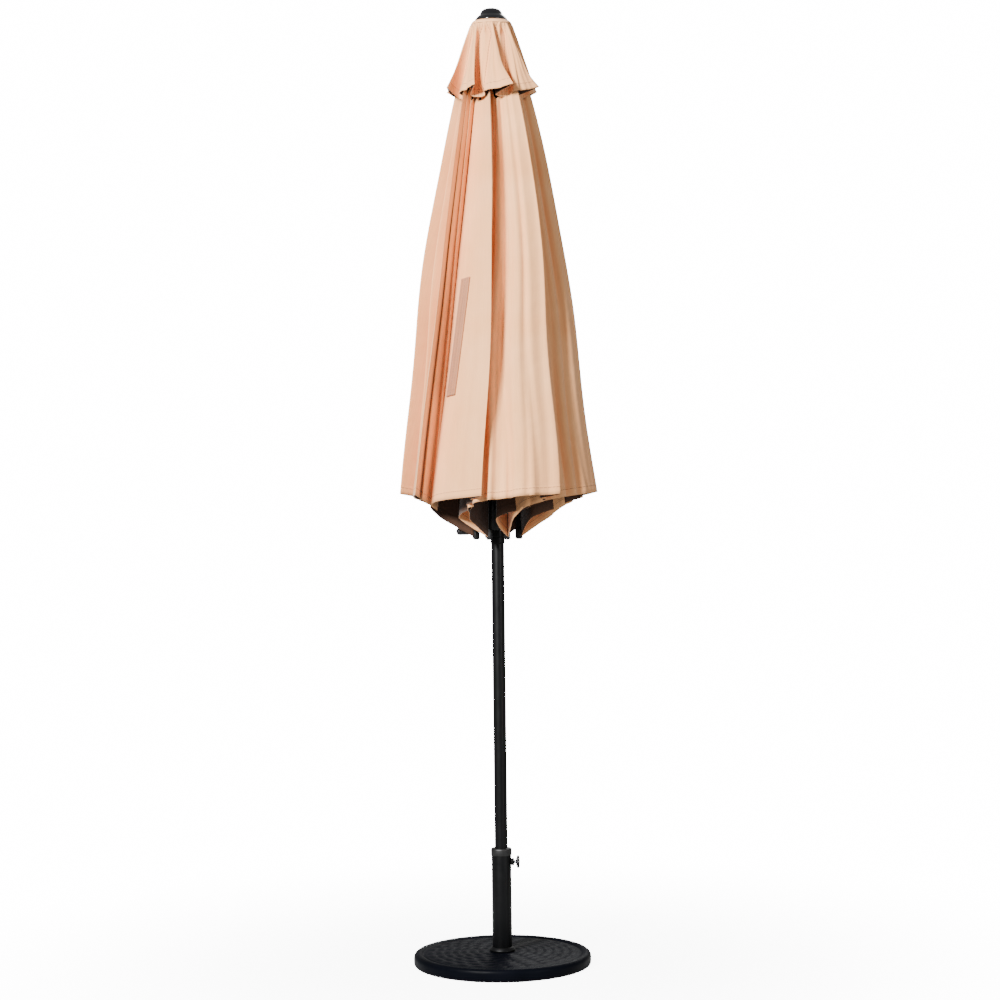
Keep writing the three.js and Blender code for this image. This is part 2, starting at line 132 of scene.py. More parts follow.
def add_node(tree: bpy.types.NodeTree, kind: str, values: dict | None = None,
             links: dict | None = None, **settings: Any) -> bpy.types.Node:
    """Adds a shader node with its settings, socket values and links.

    Args:
        tree: the material's or world's node tree.
        kind: the node's type name.
        values: default values by input name or number.
        links: output sockets by the input name or number that they feed.
        settings: the node's own properties.

    Returns:
        The new node.
    """
    node = tree.nodes.new(kind)
    for key, value in settings.items():
        setattr(node, key, value)
    for key, value in (values or {}).items():
        node.inputs[key].default_value = value
    for key, socket in (links or {}).items():
        tree.links.new(socket, node.inputs[key])
    return node


def select_only(piece: bpy.types.Object) -> None:
    """Deselects everything, then selects one piece and makes it active.

    Args:
        piece: the piece to select.
    """
    bpy.ops.object.select_all(action="DESELECT")
    piece.select_set(True)
    bpy.context.view_layer.objects.active = piece


def edited(piece: bpy.types.Object, *changes: Callable[[], Any]) -> None:
    """Runs operators on all of a piece's mesh in edit mode.

    Args:
        piece: the piece whose mesh is changed.
        changes: calls that each run one operator, in order.
    """
    select_only(piece)
    bpy.ops.object.mode_set(mode="EDIT")
    bpy.ops.mesh.select_all(action="SELECT")
    for change in changes:
        change()
    bpy.ops.object.mode_set(mode="OBJECT")


def face_outward(piece: bpy.types.Object) -> None:
    """Turns every face of a closed piece outward."""
    edited(piece, lambda: bpy.ops.mesh.normals_make_consistent(inside=False))


def softened(profile: Profile, reach: float = 1.0, steps: int = 3) -> Profile:
    """Rounds the corners of a profile.

    Args:
        profile: (radius, height) points in millimetres.
        reach: how far from a corner its rounding starts, in millimetres.
        steps: how many pieces each rounding is made of.

    Returns:
        The profile with each inner corner replaced by a short curve.
    """
    points = [Vector(p) for p in profile]
    out: Profile = [profile[0]]
    for before, corner, after in zip(points, points[1:], points[2:]):
        back, forth = before - corner, after - corner
        if back.length < 1e-6 or forth.length < 1e-6 or back.angle(forth) > math.radians(168):
            out.append(tuple(corner))
            continue
        start = corner + back.normalized() * min(reach, back.length * 0.45)
        end = corner + forth.normalized() * min(reach, forth.length * 0.45)
        for i in range(steps + 1):
            t = i / steps
            out.append(tuple(start * (1 - t) ** 2 + corner * (2 * t * (1 - t)) + end * t * t))
    out.append(profile[-1])
    return out


def settle(piece: bpy.types.Object, name: str, smooth: float = 35.0) -> bpy.types.Object:
    """Names a new piece, applies its place to its mesh and shades it.

    Args:
        piece: the piece, in object mode.
        name: its name.
        smooth: faces that meet at less than this many degrees shade as one surface.

    Returns:
        The piece.
    """
    select_only(piece)
    bpy.ops.object.transform_apply(location=True, rotation=True, scale=True)
    bpy.ops.object.shade_smooth_by_angle(angle=math.radians(smooth))
    piece.name = piece.data.name = name
    return piece


def turned(name: str, profile: Profile, segments: int = 64, ends: Ends = Ends.CAPPED,
           smooth: float = 35.0) -> bpy.types.Object:
    """Turns a profile about the pole's axis: a circle, extruded and resized ring by ring.

    Args:
        name: the piece's name.
        profile: (radius, height) points in millimetres.
        segments: sides of the circle.
        ends: how the piece closes.
        smooth: shading angle in degrees.

    Returns:
        The piece.
    """
    tiny = 0.01
    rings = [(max(radius, tiny) * MM, height * MM) for radius, height in profile]
    bpy.ops.object.select_all(action="DESELECT")
    fill = "NGON" if ends is Ends.CAPPED else "NOTHING"
    bpy.ops.mesh.primitive_circle_add(vertices=segments, radius=rings[0][0],
                                      location=(0, 0, rings[0][1]), fill_type=fill)
    piece = bpy.context.active_object
    bpy.ops.object.mode_set(mode="EDIT")
    bpy.ops.mesh.select_all(action="SELECT")
    for (radius, height), (next_radius, next_height) in zip(rings, rings[1:]):
        rise = {"value": (0, 0, next_height - height)}
        if ends is Ends.CAPPED:
            bpy.ops.mesh.extrude_region_move(TRANSFORM_OT_translate=rise)
        else:
            bpy.ops.mesh.extrude_edges_move(TRANSFORM_OT_translate=rise)
        grow = next_radius / radius
        bpy.ops.transform.resize(value=(grow, grow, 1), center_override=(0, 0, next_height))
    bpy.ops.mesh.select_all(action="SELECT")
    bpy.ops.mesh.remove_doubles(threshold=1.5e-5)
    bpy.ops.mesh.normals_make_consistent(inside=False)
    bpy.ops.object.mode_set(mode="OBJECT")
    return settle(piece, name, smooth)


def bevelled(piece: bpy.types.Object, width: float, segments: int = 2,
             angle: float = 40.0) -> None:
    """Rounds a piece's sharp edges with a bevel that is applied.

    Args:
        piece: the piece to round.
        width: the bevel's width in metres.
        segments: how many faces across the bevel.
        angle: edges sharper than this many degrees are rounded.
    """
    select_only(piece)
    bevel = piece.modifiers.new("Rounding", "BEVEL")
    bevel.width, bevel.segments = width, segments
    bevel.limit_method, bevel.angle_limit = "ANGLE", math.radians(angle)
    bpy.ops.object.modifier_apply(modifier=bevel.name)


def swung(piece: bpy.types.Object, azimuth: float) -> None:
    """Turns a piece's mesh about the pole's axis.

    Args:
        piece: the piece to turn.
        azimuth: degrees, anticlockwise from above.
    """
    select_only(piece)
    piece.rotation_euler = (0, 0, math.radians(azimuth))
    bpy.ops.object.transform_apply(location=False, rotation=True, scale=False)


def copied(piece: bpy.types.Object, name: str) -> bpy.types.Object:
    """Copies a loose piece with a mesh of its own.

    Args:
        piece: the piece to copy.
        name: the copy's name.

    Returns:
        The copy.
    """
    twin = piece.copy()
    twin.data = piece.data.copy()
    twin.name = twin.data.name = name
    bpy.context.scene.collection.objects.link(twin)
    return twin


@dataclass
class Workshop:
    """Holds the loaded frame, and hands each finished piece over to it."""

    nodes: dict[str, bpy.types.Object]
    made: int = 0

    def fit(self, piece: bpy.types.Object, finish: bpy.types.Material, slot: Slot,
            body: str | None, *stands_for: str) -> bpy.types.Object:
        """Dresses a piece and makes it move with its body.

        Args:
            piece: the finished piece.
            finish: its material.
            slot: the record's slot that the material belongs to; not used.
            body: the body that it rides on, or None where it bends between two.
            stands_for: the CAD nodes that it replaces.

        Returns:
            The piece.
        """
        piece.data.materials.clear()
        piece.data.materials.append(finish)
        for face in piece.data.polygons:
            face.material_index = 0
        if body:
            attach(piece, body)
        if stands_for:
            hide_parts(*stands_for)
        self.made += 1
        LOG.info("%-22s %7d faces, rides on %s", piece.name, len(piece.data.polygons),
                 body or "two bodies")
        return piece

    def dress(self, finish: bpy.types.Material, *names: str) -> None:
        """Gives CAD nodes that stay as they are a material.

        Args:
            finish: the material.
            names: the nodes' names.
        """
        for name in names:
            for place in self.nodes[name].material_slots:
                place.material = finish

    def refined(self, node: str, name: str, rounding: float) -> bpy.types.Object:
        """Makes a finely edged copy of a CAD node.

        Args:
            node: the CAD node's name.
            name: the new piece's name.
            rounding: width of its edge rounding in metres.

        Returns:
            The copy, loose, with merged faces and rounded edges.
        """
        source = self.nodes[node]
        piece = source.copy()
        piece.data = source.data.copy()
        for key in [k for k in piece.keys() if k.startswith("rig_")]:
            del piece[key]
        piece.parent = None
        bpy.context.scene.collection.objects.link(piece)
        edited(piece, lambda: bpy.ops.mesh.remove_doubles(threshold=2e-5),
               lambda: bpy.ops.mesh.dissolve_limited(angle_limit=math.radians(1.0)))
        bevelled(piece, rounding)
        return settle(piece, name, 40.0)


# ---- finishes -------------------------------------------------------------------------------
@dataclass(frozen=True)
class Finish:
    """What every finish shares: a name, a colour, and its gloss."""

    name: str
    colour: str
    roughness: float
    ior: float = 1.5
    metallic: float = 0.0

    def start(self) -> tuple[bpy.types.Material, bpy.types.NodeTree, bpy.types.Node]:
        """Makes the material with its shader, set to the finish's constants.

        Returns:
            The material, its node tree and its Principled shader.
        """
        material = bpy.data.materials.new(self.name)
        material.use_nodes = True
        tree = material.node_tree
        tree.nodes.clear()
        shader = add_node(tree, "ShaderNodeBsdfPrincipled", {
            "Base Color": linear(self.colour), "Roughness": self.roughness,
            "Metallic": self.metallic, "IOR": self.ior})
        add_node(tree, "ShaderNodeOutputMaterial", links={"Surface": shader.outputs["BSDF"]})
        material.diffuse_color = linear(self.colour)
        return material, tree, shader

    def mottle(self, tree: bpy.types.NodeTree, where: Any, per_metre: float, low: Any,
               high: Any, detail: float = 3.0) -> Any:
        """Cloudy variation between two linear colours.

        Args:
            tree: the material's node tree.
            where: the coordinates' socket.
            per_metre: noise scale.
            low: the linear colour of the troughs.
            high: the linear colour of the crests.
            detail: octaves of noise.

        Returns:
            The colour socket.
        """
        noise = add_node(tree, "ShaderNodeTexNoise", {"Scale": per_metre, "Detail": detail},
                         {"Vector": where})
        spread = add_node(tree, "ShaderNodeMapRange",
                          {"From Min": 0.32, "From Max": 0.68}, {"Value": noise.outputs[0]})
        mix = add_node(tree, "ShaderNodeMix", {6: low, 7: high}, {0: spread.outputs[0]},
                       data_type="RGBA")
        return mix.outputs[2]

    def scuffs(self, tree: bpy.types.NodeTree, where: Any, shader: bpy.types.Node,
               spread: float, per_metre: float) -> None:
        """Uneven gloss: roughness that wanders around the finish's own value.

        Args:
            tree: the material's node tree.
            where: the coordinates' socket.
            shader: the Principled shader.
            spread: how far roughness goes each way.
            per_metre: noise scale.
        """
        noise = add_node(tree, "ShaderNodeTexNoise", {"Scale": per_metre, "Detail": 4.0},
                         {"Vector": where})
        add = add_node(tree, "ShaderNodeMapRange", {
            "From Min": 0.3, "From Max": 0.7, "To Min": self.roughness - spread,
            "To Max": self.roughness + spread}, {"Value": noise.outputs[0]})
        tree.links.new(add.outputs[0], shader.inputs["Roughness"])


@dataclass(frozen=True)
class CanopyCloth(Finish):
    """Woven polyester canopy cloth, dyed in the yarn and fluorocarbon-proofed.

    The weave gives a dry, matt surface with a faint sheen at grazing angles and slow changes of
    tone where the dye and the proofing are uneven.
    """

    faded: str = "#E4A878"
    thread: str = "#A8714A"
    # The real cloth has about 20 threads a centimetre. They are drawn at 1.6 mm so that a
    # close view shows them.
    spacing_mm: float = 1.6
    stitch_mm: float = 4.0
    thread_mm: float = 1.2          # drawn width of a line of stitching

    def band(self, tree: bpy.types.NodeTree, value: Any, middle: float, half: float) -> Any:
        """Is 1 where a value lies within a half-width of a middle, all in metres."""
        return add_node(tree, "ShaderNodeMath", {1: middle, 2: half}, {0: value},
                        operation="COMPARE").outputs[0]

    def make(self) -> bpy.types.Material:
        """Builds the material.

        Returns:
            The finished material.
        """
        material, tree, shader = self.start()
        uv = add_node(tree, "ShaderNodeUVMap", uv_map="cloth").outputs[0]
        seam = add_node(tree, "ShaderNodeAttribute", attribute_name="seam").outputs["Fac"]
        split = add_node(tree, "ShaderNodeSeparateXYZ", links={0: uv})
        across, up = split.outputs[0], split.outputs[1]

        tone = self.mottle(tree, uv, 5.0, linear(self.colour), linear(self.faded))
        stretched = add_node(tree, "ShaderNodeMapping", {"Scale": (420.0, 14.0, 1.0)},
                             {"Vector": uv})
        slub = add_node(tree, "ShaderNodeTexNoise", {"Scale": 1.0, "Detail": 2.0},
                        {"Vector": stretched.outputs[0]})
        slub_tone = add_node(tree, "ShaderNodeMapRange", {
            "From Min": 0.3, "From Max": 0.7, "To Min": 0.95, "To Max": 1.03},
            {"Value": slub.outputs[0]})
        woven_tone = add_node(tree, "ShaderNodeVectorMath", links={0: tone},
                              operation="SCALE")
        tree.links.new(slub_tone.outputs[0], woven_tone.inputs["Scale"])

        half = self.thread_mm * MM / 2
        rows = add_node(tree, "ShaderNodeMath", links={
            0: self.band(tree, seam, 0.006, half), 1: self.band(tree, seam, 0.014, half)},
            operation="ADD")
        lines = []
        for along, line in ((up, rows.outputs[0]), (across, self.band(tree, up, 0.018, half))):
            dash = add_node(tree, "ShaderNodeMath", {1: self.stitch_mm * MM}, {0: along},
                            operation="PINGPONG")
            dashed = add_node(tree, "ShaderNodeMath", {1: self.stitch_mm * MM * 0.22},
                              {0: dash.outputs[0]}, operation="GREATER_THAN")
            lines.append(add_node(tree, "ShaderNodeMath", links={
                0: line, 1: dashed.outputs[0]}, operation="MULTIPLY").outputs[0])
        stitches = add_node(tree, "ShaderNodeMath", links={0: lines[0], 1: lines[1]},
                            operation="MAXIMUM", use_clamp=True)
        sewn = add_node(tree, "ShaderNodeMix", {7: linear(self.thread)}, {
            0: stitches.outputs[0], 6: woven_tone.outputs[0]}, data_type="RGBA")
        tree.links.new(sewn.outputs[2], shader.inputs["Base Color"])

        bands = WAVE_SCALE / (self.spacing_mm * MM)
        warp, weft = (add_node(tree, "ShaderNodeTexWave", {"Scale": bands}, {"Vector": uv},
                               bands_direction=axis) for axis in ("X", "Y"))
        weave = add_node(tree, "ShaderNodeMath", links={
            0: warp.outputs["Fac"], 1: weft.outputs["Fac"]}, operation="MULTIPLY")
        hem_lap, seam_lap = (add_node(tree, "ShaderNodeMapRange", {
            "From Min": edge, "From Max": edge + 0.002, "To Min": 1.0, "To Max": 0.0},
            {"Value": value}).outputs[0] for value, edge in ((up, 0.021), (seam, 0.016)))
        laps = add_node(tree, "ShaderNodeMath", links={0: hem_lap, 1: seam_lap},
                        operation="MAXIMUM")
        raised = add_node(tree, "ShaderNodeMath", {1: -0.6},
                          {0: stitches.outputs[0], 2: laps.outputs[0]},
                          operation="MULTIPLY_ADD")
        crumple = add_node(tree, "ShaderNodeTexNoise", {"Scale": 26.0, "Detail": 3.0},
                           {"Vector": uv})
        soft = add_node(tree, "ShaderNodeBump", {"Strength": 0.35, "Distance": 0.006},
                        {"Height": crumple.outputs[0]})
        sewing = add_node(tree, "ShaderNodeBump", {"Strength": 0.7, "Distance": 0.0009},
                          {"Height": raised.outputs[0], "Normal": soft.outputs[0]})
        fine = add_node(tree, "ShaderNodeBump", {"Strength": 0.35, "Distance": 0.0003},
                        {"Height": weave.outputs[0], "Normal": sewing.outputs[0]})
        tree.links.new(fine.outputs[0], shader.inputs["Normal"])
        shader.inputs["Sheen Weight"].default_value = 0.25
        shader.inputs["Sheen Roughness"].default_value = 0.45
        shader.inputs["Specular IOR Level"].default_value = 0.25
        return material


@dataclass(frozen=True)
class PowderCoat(Finish):
    """Polyester powder coat on steel: satin black, with a fine orange-peel skin."""

    peel_mm: float = 1.4            # width of one dimple of the skin
    dusty: str = "#0E0E10"
    gloss: float = 0.3              # strength of the plain reflection

    def make(self) -> bpy.types.Material:
        """Builds the material.

        Returns:
            The finished material.
        """
        material, tree, shader = self.start()
        where = add_node(tree, "ShaderNodeTexCoord").outputs["Object"]
        tone = self.mottle(tree, where, 14.0, linear(self.colour), linear(self.dusty), 5.0)
        tree.links.new(tone, shader.inputs["Base Color"])
        self.scuffs(tree, where, shader, 0.05, 45.0)
        peel = add_node(tree, "ShaderNodeTexNoise", {"Scale": 1 / (self.peel_mm * MM)},
                        {"Vector": where})
        bump = add_node(tree, "ShaderNodeBump", {"Strength": 0.18, "Distance": 0.0002},
                        {"Height": peel.outputs[0]})
        tree.links.new(bump.outputs[0], shader.inputs["Normal"])
        shader.inputs["Specular IOR Level"].default_value = self.gloss
        return material


@dataclass(frozen=True)
class Moulding(Finish):
    """Injection-moulded plastic, from a polished or a spark-eroded tool."""

    grain_mm: float = 0.9
    grain: float = 0.1
    coat: float = 0.0

    def make(self) -> bpy.types.Material:
        """Builds the material.

        Returns:
            The finished material.
        """
        material, tree, shader = self.start()
        where = add_node(tree, "ShaderNodeTexCoord").outputs["Object"]
        self.scuffs(tree, where, shader, self.roughness * 0.3, 60.0)
        grain = add_node(tree, "ShaderNodeTexNoise", {"Scale": 1 / (self.grain_mm * MM)},
                         {"Vector": where})
        flow = add_node(tree, "ShaderNodeTexNoise", {"Scale": 18.0}, {"Vector": where})
        broad = add_node(tree, "ShaderNodeBump", {"Strength": 0.15, "Distance": 0.001},
                         {"Height": flow.outputs[0]})
        bump = add_node(tree, "ShaderNodeBump", {"Strength": self.grain, "Distance": 0.0002},
                        {"Height": grain.outputs[0], "Normal": broad.outputs[0]})
        tree.links.new(bump.outputs[0], shader.inputs["Normal"])
        shader.inputs["Coat Weight"].default_value = self.coat
        shader.inputs["Coat Roughness"].default_value = 0.06
        return material


@dataclass(frozen=True)
class ZincPlate(Finish):
    """Bright zinc on turned steel: a cool metal with fine circular tool marks."""

    pitch_mm: float = 1.25          # thread pitch of an M8 screw

    def make(self) -> bpy.types.Material:
        """Builds the material.

        Returns:
            The finished material.
        """
        material, tree, shader = self.start()
        where = add_node(tree, "ShaderNodeTexCoord").outputs["Object"]
        self.scuffs(tree, where, shader, 0.08, 120.0)
        thread = add_node(tree, "ShaderNodeTexWave", {"Scale": WAVE_SCALE / (self.pitch_mm * MM)},
                          {"Vector": where}, bands_direction="X")
        bump = add_node(tree, "ShaderNodeBump", {"Strength": 0.5, "Distance": 0.0005},
                        {"Height": thread.outputs["Fac"]})
        tree.links.new(bump.outputs[0], shader.inputs["Normal"])
        shader.inputs["Anisotropic"].default_value = 0.3
        return material


@dataclass(frozen=True)
class BraidedCord(Finish):
    """Braided polyester cord: two sets of strands that cross at a slant."""

    strand_mm: float = 1.1

    def make(self) -> bpy.types.Material:
        """Builds the material.

        Returns:
            The finished material.
        """
        material, tree, shader = self.start()
        where = add_node(tree, "ShaderNodeTexCoord").outputs["Object"]
        scale = WAVE_SCALE / (self.strand_mm * MM)
        sets = []
        for lean in (0.9, -0.9):
            slanted = add_node(tree, "ShaderNodeMapping", {"Rotation": (lean, 0.0, lean)},
                               {"Vector": where})
            sets.append(add_node(tree, "ShaderNodeTexWave", {"Scale": scale},
                                 {"Vector": slanted.outputs[0]}, bands_direction="Z"))
        braid = add_node(tree, "ShaderNodeMath", links={
            0: sets[0].outputs["Fac"], 1: sets[1].outputs["Fac"]}, operation="MAXIMUM")
        # Painted shade: where the braid is low, between the strands, the cord is drawn darker grey.
        shade = add_node(tree, "ShaderNodeMix", {
            6: linear("#9C968A"), 7: linear(self.colour)}, {0: braid.outputs[0]},
            data_type="RGBA")
        tree.links.new(shade.outputs[2], shader.inputs["Base Color"])
        bump = add_node(tree, "ShaderNodeBump", {"Strength": 0.8, "Distance": 0.0004},
                        {"Height": braid.outputs[0]})
        tree.links.new(bump.outputs[0], shader.inputs["Normal"])
        return material


@dataclass(frozen=True)
class Finishes:
    """Every material of the umbrella, made once."""

    cloth: bpy.types.Material
    webbing: bpy.types.Material
    lining: bpy.types.Material
    steel: bpy.types.Material
    base: bpy.types.Material
    gloss: bpy.types.Material
    satin: bpy.types.Material
    zinc: bpy.types.Material
    cord: bpy.types.Material

    @classmethod
    def make(cls) -> Finishes:
        """Builds the nine finishes.

        Returns:
            The set that all pieces share.
        """
        return cls(
            cloth=CanopyCloth("woven polyester cloth", "#E5A26A", 0.86, 1.5, 0.0, "#EDB07A",
                              "#A87350").make(),
            # Painted shade: the strap's cloth is the canopy's tan darkened to the shade that the strap hangs
            # in.
            webbing=CanopyCloth("tie strap cloth painted in shade", "#A06C4C", 0.88, 1.5, 0.0, "#A87656",
                                "#7C5036").make(),
            # Painted shade: the cloth's underside is drawn dark brown where the real cloth is the same tan,
            # seen in shade.
            lining=CanopyCloth("cloth underside painted in shade", "#3C2416", 0.75, 1.5, 0.0, "#452B1B",
                               "#301B0F").make(),
            steel=PowderCoat("satin powder coat", "#030304", 0.42, 1.5, 0.0, 1.4, "#060607",
                             0.16).make(),
            base=PowderCoat("navy-black base coat", "#030408", 0.4, 1.5, 0.0, 1.9,
                            "#06070D", 0.03).make(),
            gloss=Moulding("polished black ABS", "#050507", 0.16, 1.53, 0.0, 0.9, 0.04,
                           0.5).make(),
            satin=Moulding("grained black nylon", "#060606", 0.44, 1.53, 0.0, 0.9, 0.3).make(),
            zinc=ZincPlate("bright zinc plate", "#C6CACE", 0.26, 1.45, 1.0).make(),
            cord=BraidedCord("braided cord", "#DDD7C8", 0.8).make(),
        )


# ---- base -----------------------------------------------------------------------------------
@dataclass
class WeightedBase:
    """The round weighted base: a disc with a woven relief, and its receiver tube."""

    shop: Workshop
    finishes: Finishes
    rim_radius: float = 229.0
    rim_height: float = 34.0
    relief_outer: float = 197.0     # the relief runs between these two radii, in millimetres
    relief_inner: float = 40.0
    relief_step: float = 22.0       # from one ring of the weave to the next
    relief_length: float = 46.0     # of one strand of the weave, along its ring
    relief_height: float = 2.4

    def relief(self, radius: Grid, azimuth: Grid) -> Grid:
        """Height of the woven relief.

        Args:
            radius: distances from the axis, in millimetres.
            azimuth: in radians.

        Returns:
            Heights in millimetres, 0 outside the relief.
        """
        ring = np.floor((radius - self.relief_inner) / self.relief_step)
        middle = self.relief_inner + (ring + 0.5) * self.relief_step
        count = np.round(2 * math.pi * middle / self.relief_length)
        phase = azimuth * count + math.pi * (ring % 2)
        across = np.clip(np.cos(math.pi * (radius - middle) / self.relief_step), 0, 1)
        along = np.abs(np.sin(phase / 2)) ** 0.7
        inside = (radius > self.relief_inner) & (radius < self.relief_outer)
        return np.where(inside, self.relief_height * across ** 0.8 * along, 0.0)

    def disc(self) -> bpy.types.Object:
        """Builds the disc, and raises its weave.

        Returns:
            The disc, with the ring that it stands on.
        """
        rim = self.rim_height
        under: Profile = softened([(7, 22), (190, 22), (200, 0), (221, 0), (226, 2),
                                   (self.rim_radius, 7), (self.rim_radius, rim - 11),
                                   (227, rim - 5), (222, rim - 1), (215, rim),
                                   (209, rim - 1.5), (205, rim - 5), (202, rim - 5.2)], 2.2, 3)
        rings = np.arange(199.5, self.relief_inner - 4, -2.2)
        top: Profile = [(float(r), 35.4 - 4.6 * ((r - 36) / 164) ** 1.5) for r in rings]
        profile = under + top + [(7.0, 36.0), (7.0, 22.0)]
        disc = turned("base_disc", profile, 320, Ends.RING, 50.0)
        count = len(disc.data.vertices)
        points = np.empty(count * 3)
        disc.data.vertices.foreach_get("co", points)
        points = points.reshape(-1, 3)
        radius = np.hypot(points[:, 0], points[:, 1]) / MM
        above = points[:, 2] > 0.028
        lift = self.relief(radius, np.arctan2(points[:, 1], points[:, 0]))
        points[:, 2] += np.where(above, lift, 0) * MM
        disc.data.vertices.foreach_set("co", points.ravel())
        disc.data.update()
        return disc

    def receiver(self) -> list[tuple[bpy.types.Object, str]]:
        """Builds the receiver tube, its weld flange and its plastic cap.

        Returns:
            Each piece with the CAD node that it stands for.
        """
        tube = turned("receiver_tube", softened([
            (7, 36.35), (25.4, 36.35), (25.4, 297), (23.4, 297), (23.4, 41.35), (7, 41.35),
            (7, 36.35)], 0.6), 96, Ends.RING)
        flange = turned("weld_ring", softened([
            (25.75, 36.35), (33, 36.35), (33, 40.4), (28, 46.3), (25.75, 47.35),
            (25.75, 36.35)], 1.6, 4), 96, Ends.RING, 60.0)
        cap = turned("receiver_cap", softened([
            (16.85, 274), (23.05, 274), (23.05, 297.35), (25.75, 297.35), (25.75, 284),
            (26.8, 284), (26.9, 298.8), (25.6, 301.6), (23.5, 302.5), (18.2, 302.5),
            (16.85, 301.4), (16.85, 274)], 0.8), 96, Ends.RING)
        return [(tube, "stem_tube"), (flange, "weld_flange"), (cap, "stem_cap")]

    def thumb_screw(self) -> tuple[bpy.types.Object, bpy.types.Object]:
        """Builds the screw's rod and its six-lobed knob, along +X.

        Returns:
            The rod and the knob.
        """
        bpy.ops.object.select_all(action="DESELECT")
        bpy.ops.mesh.primitive_cylinder_add(vertices=32, radius=0.004, depth=0.0305,
                                            location=(0.0323, 0, 0.266),
                                            rotation=(0, math.pi / 2, 0))
        rod = bpy.context.active_object
        bpy.ops.object.transform_apply(location=True, rotation=True, scale=True)
        bevelled(rod, 0.0008)
        knob = turned("lock_wheel", softened([
            (4.4, 37.6), (9.5, 37.6), (10.5, 39.4), (14.6, 39.6), (16.4, 41.0), (16.6, 44.6),
            (15.2, 46.4), (9.0, 47.0), (8.0, 46.2), (4.4, 46.2), (4.4, 37.6)], 0.9), 96,
            Ends.RING)
        for vertex in knob.data.vertices:
            x, y, z = vertex.co
            reach = math.hypot(x, y)
            lobe = 1 + 0.085 * math.cos(6 * math.atan2(y, x)) if reach > 0.012 else 1.0
            vertex.co = (z, x * lobe * 0.95, y * lobe * 0.95 + 0.266)
        knob.data.update()
        face_outward(knob)
        return settle(rod, "lock_rod"), knob

    def build(self) -> None:
        """Builds and dresses the whole base."""
        shop, look = self.shop, self.finishes
        shop.fit(self.disc(), look.base, Slot.BASE_COAT, "base", "base_plate")
        for piece, node in self.receiver():
            plastic = node == "stem_cap"
            shop.fit(piece, look.satin if plastic else look.steel,
                     Slot.BLACK_PLASTIC if plastic else Slot.BLACK_METAL, "base", node)
        boss = shop.refined("lock_nut", "lock_boss", 0.0008)
        shop.fit(boss, look.steel, Slot.BLACK_METAL, "base", "lock_nut")
        rod, knob = self.thumb_screw()
        shop.fit(rod, look.zinc, Slot.ZINC, "lock", "lock_screw")
        shop.fit(knob, look.satin, Slot.BLACK_PLASTIC, "lock", "lock_knob")
        shop.dress(look.zinc, "base_bolt", "base_nut")


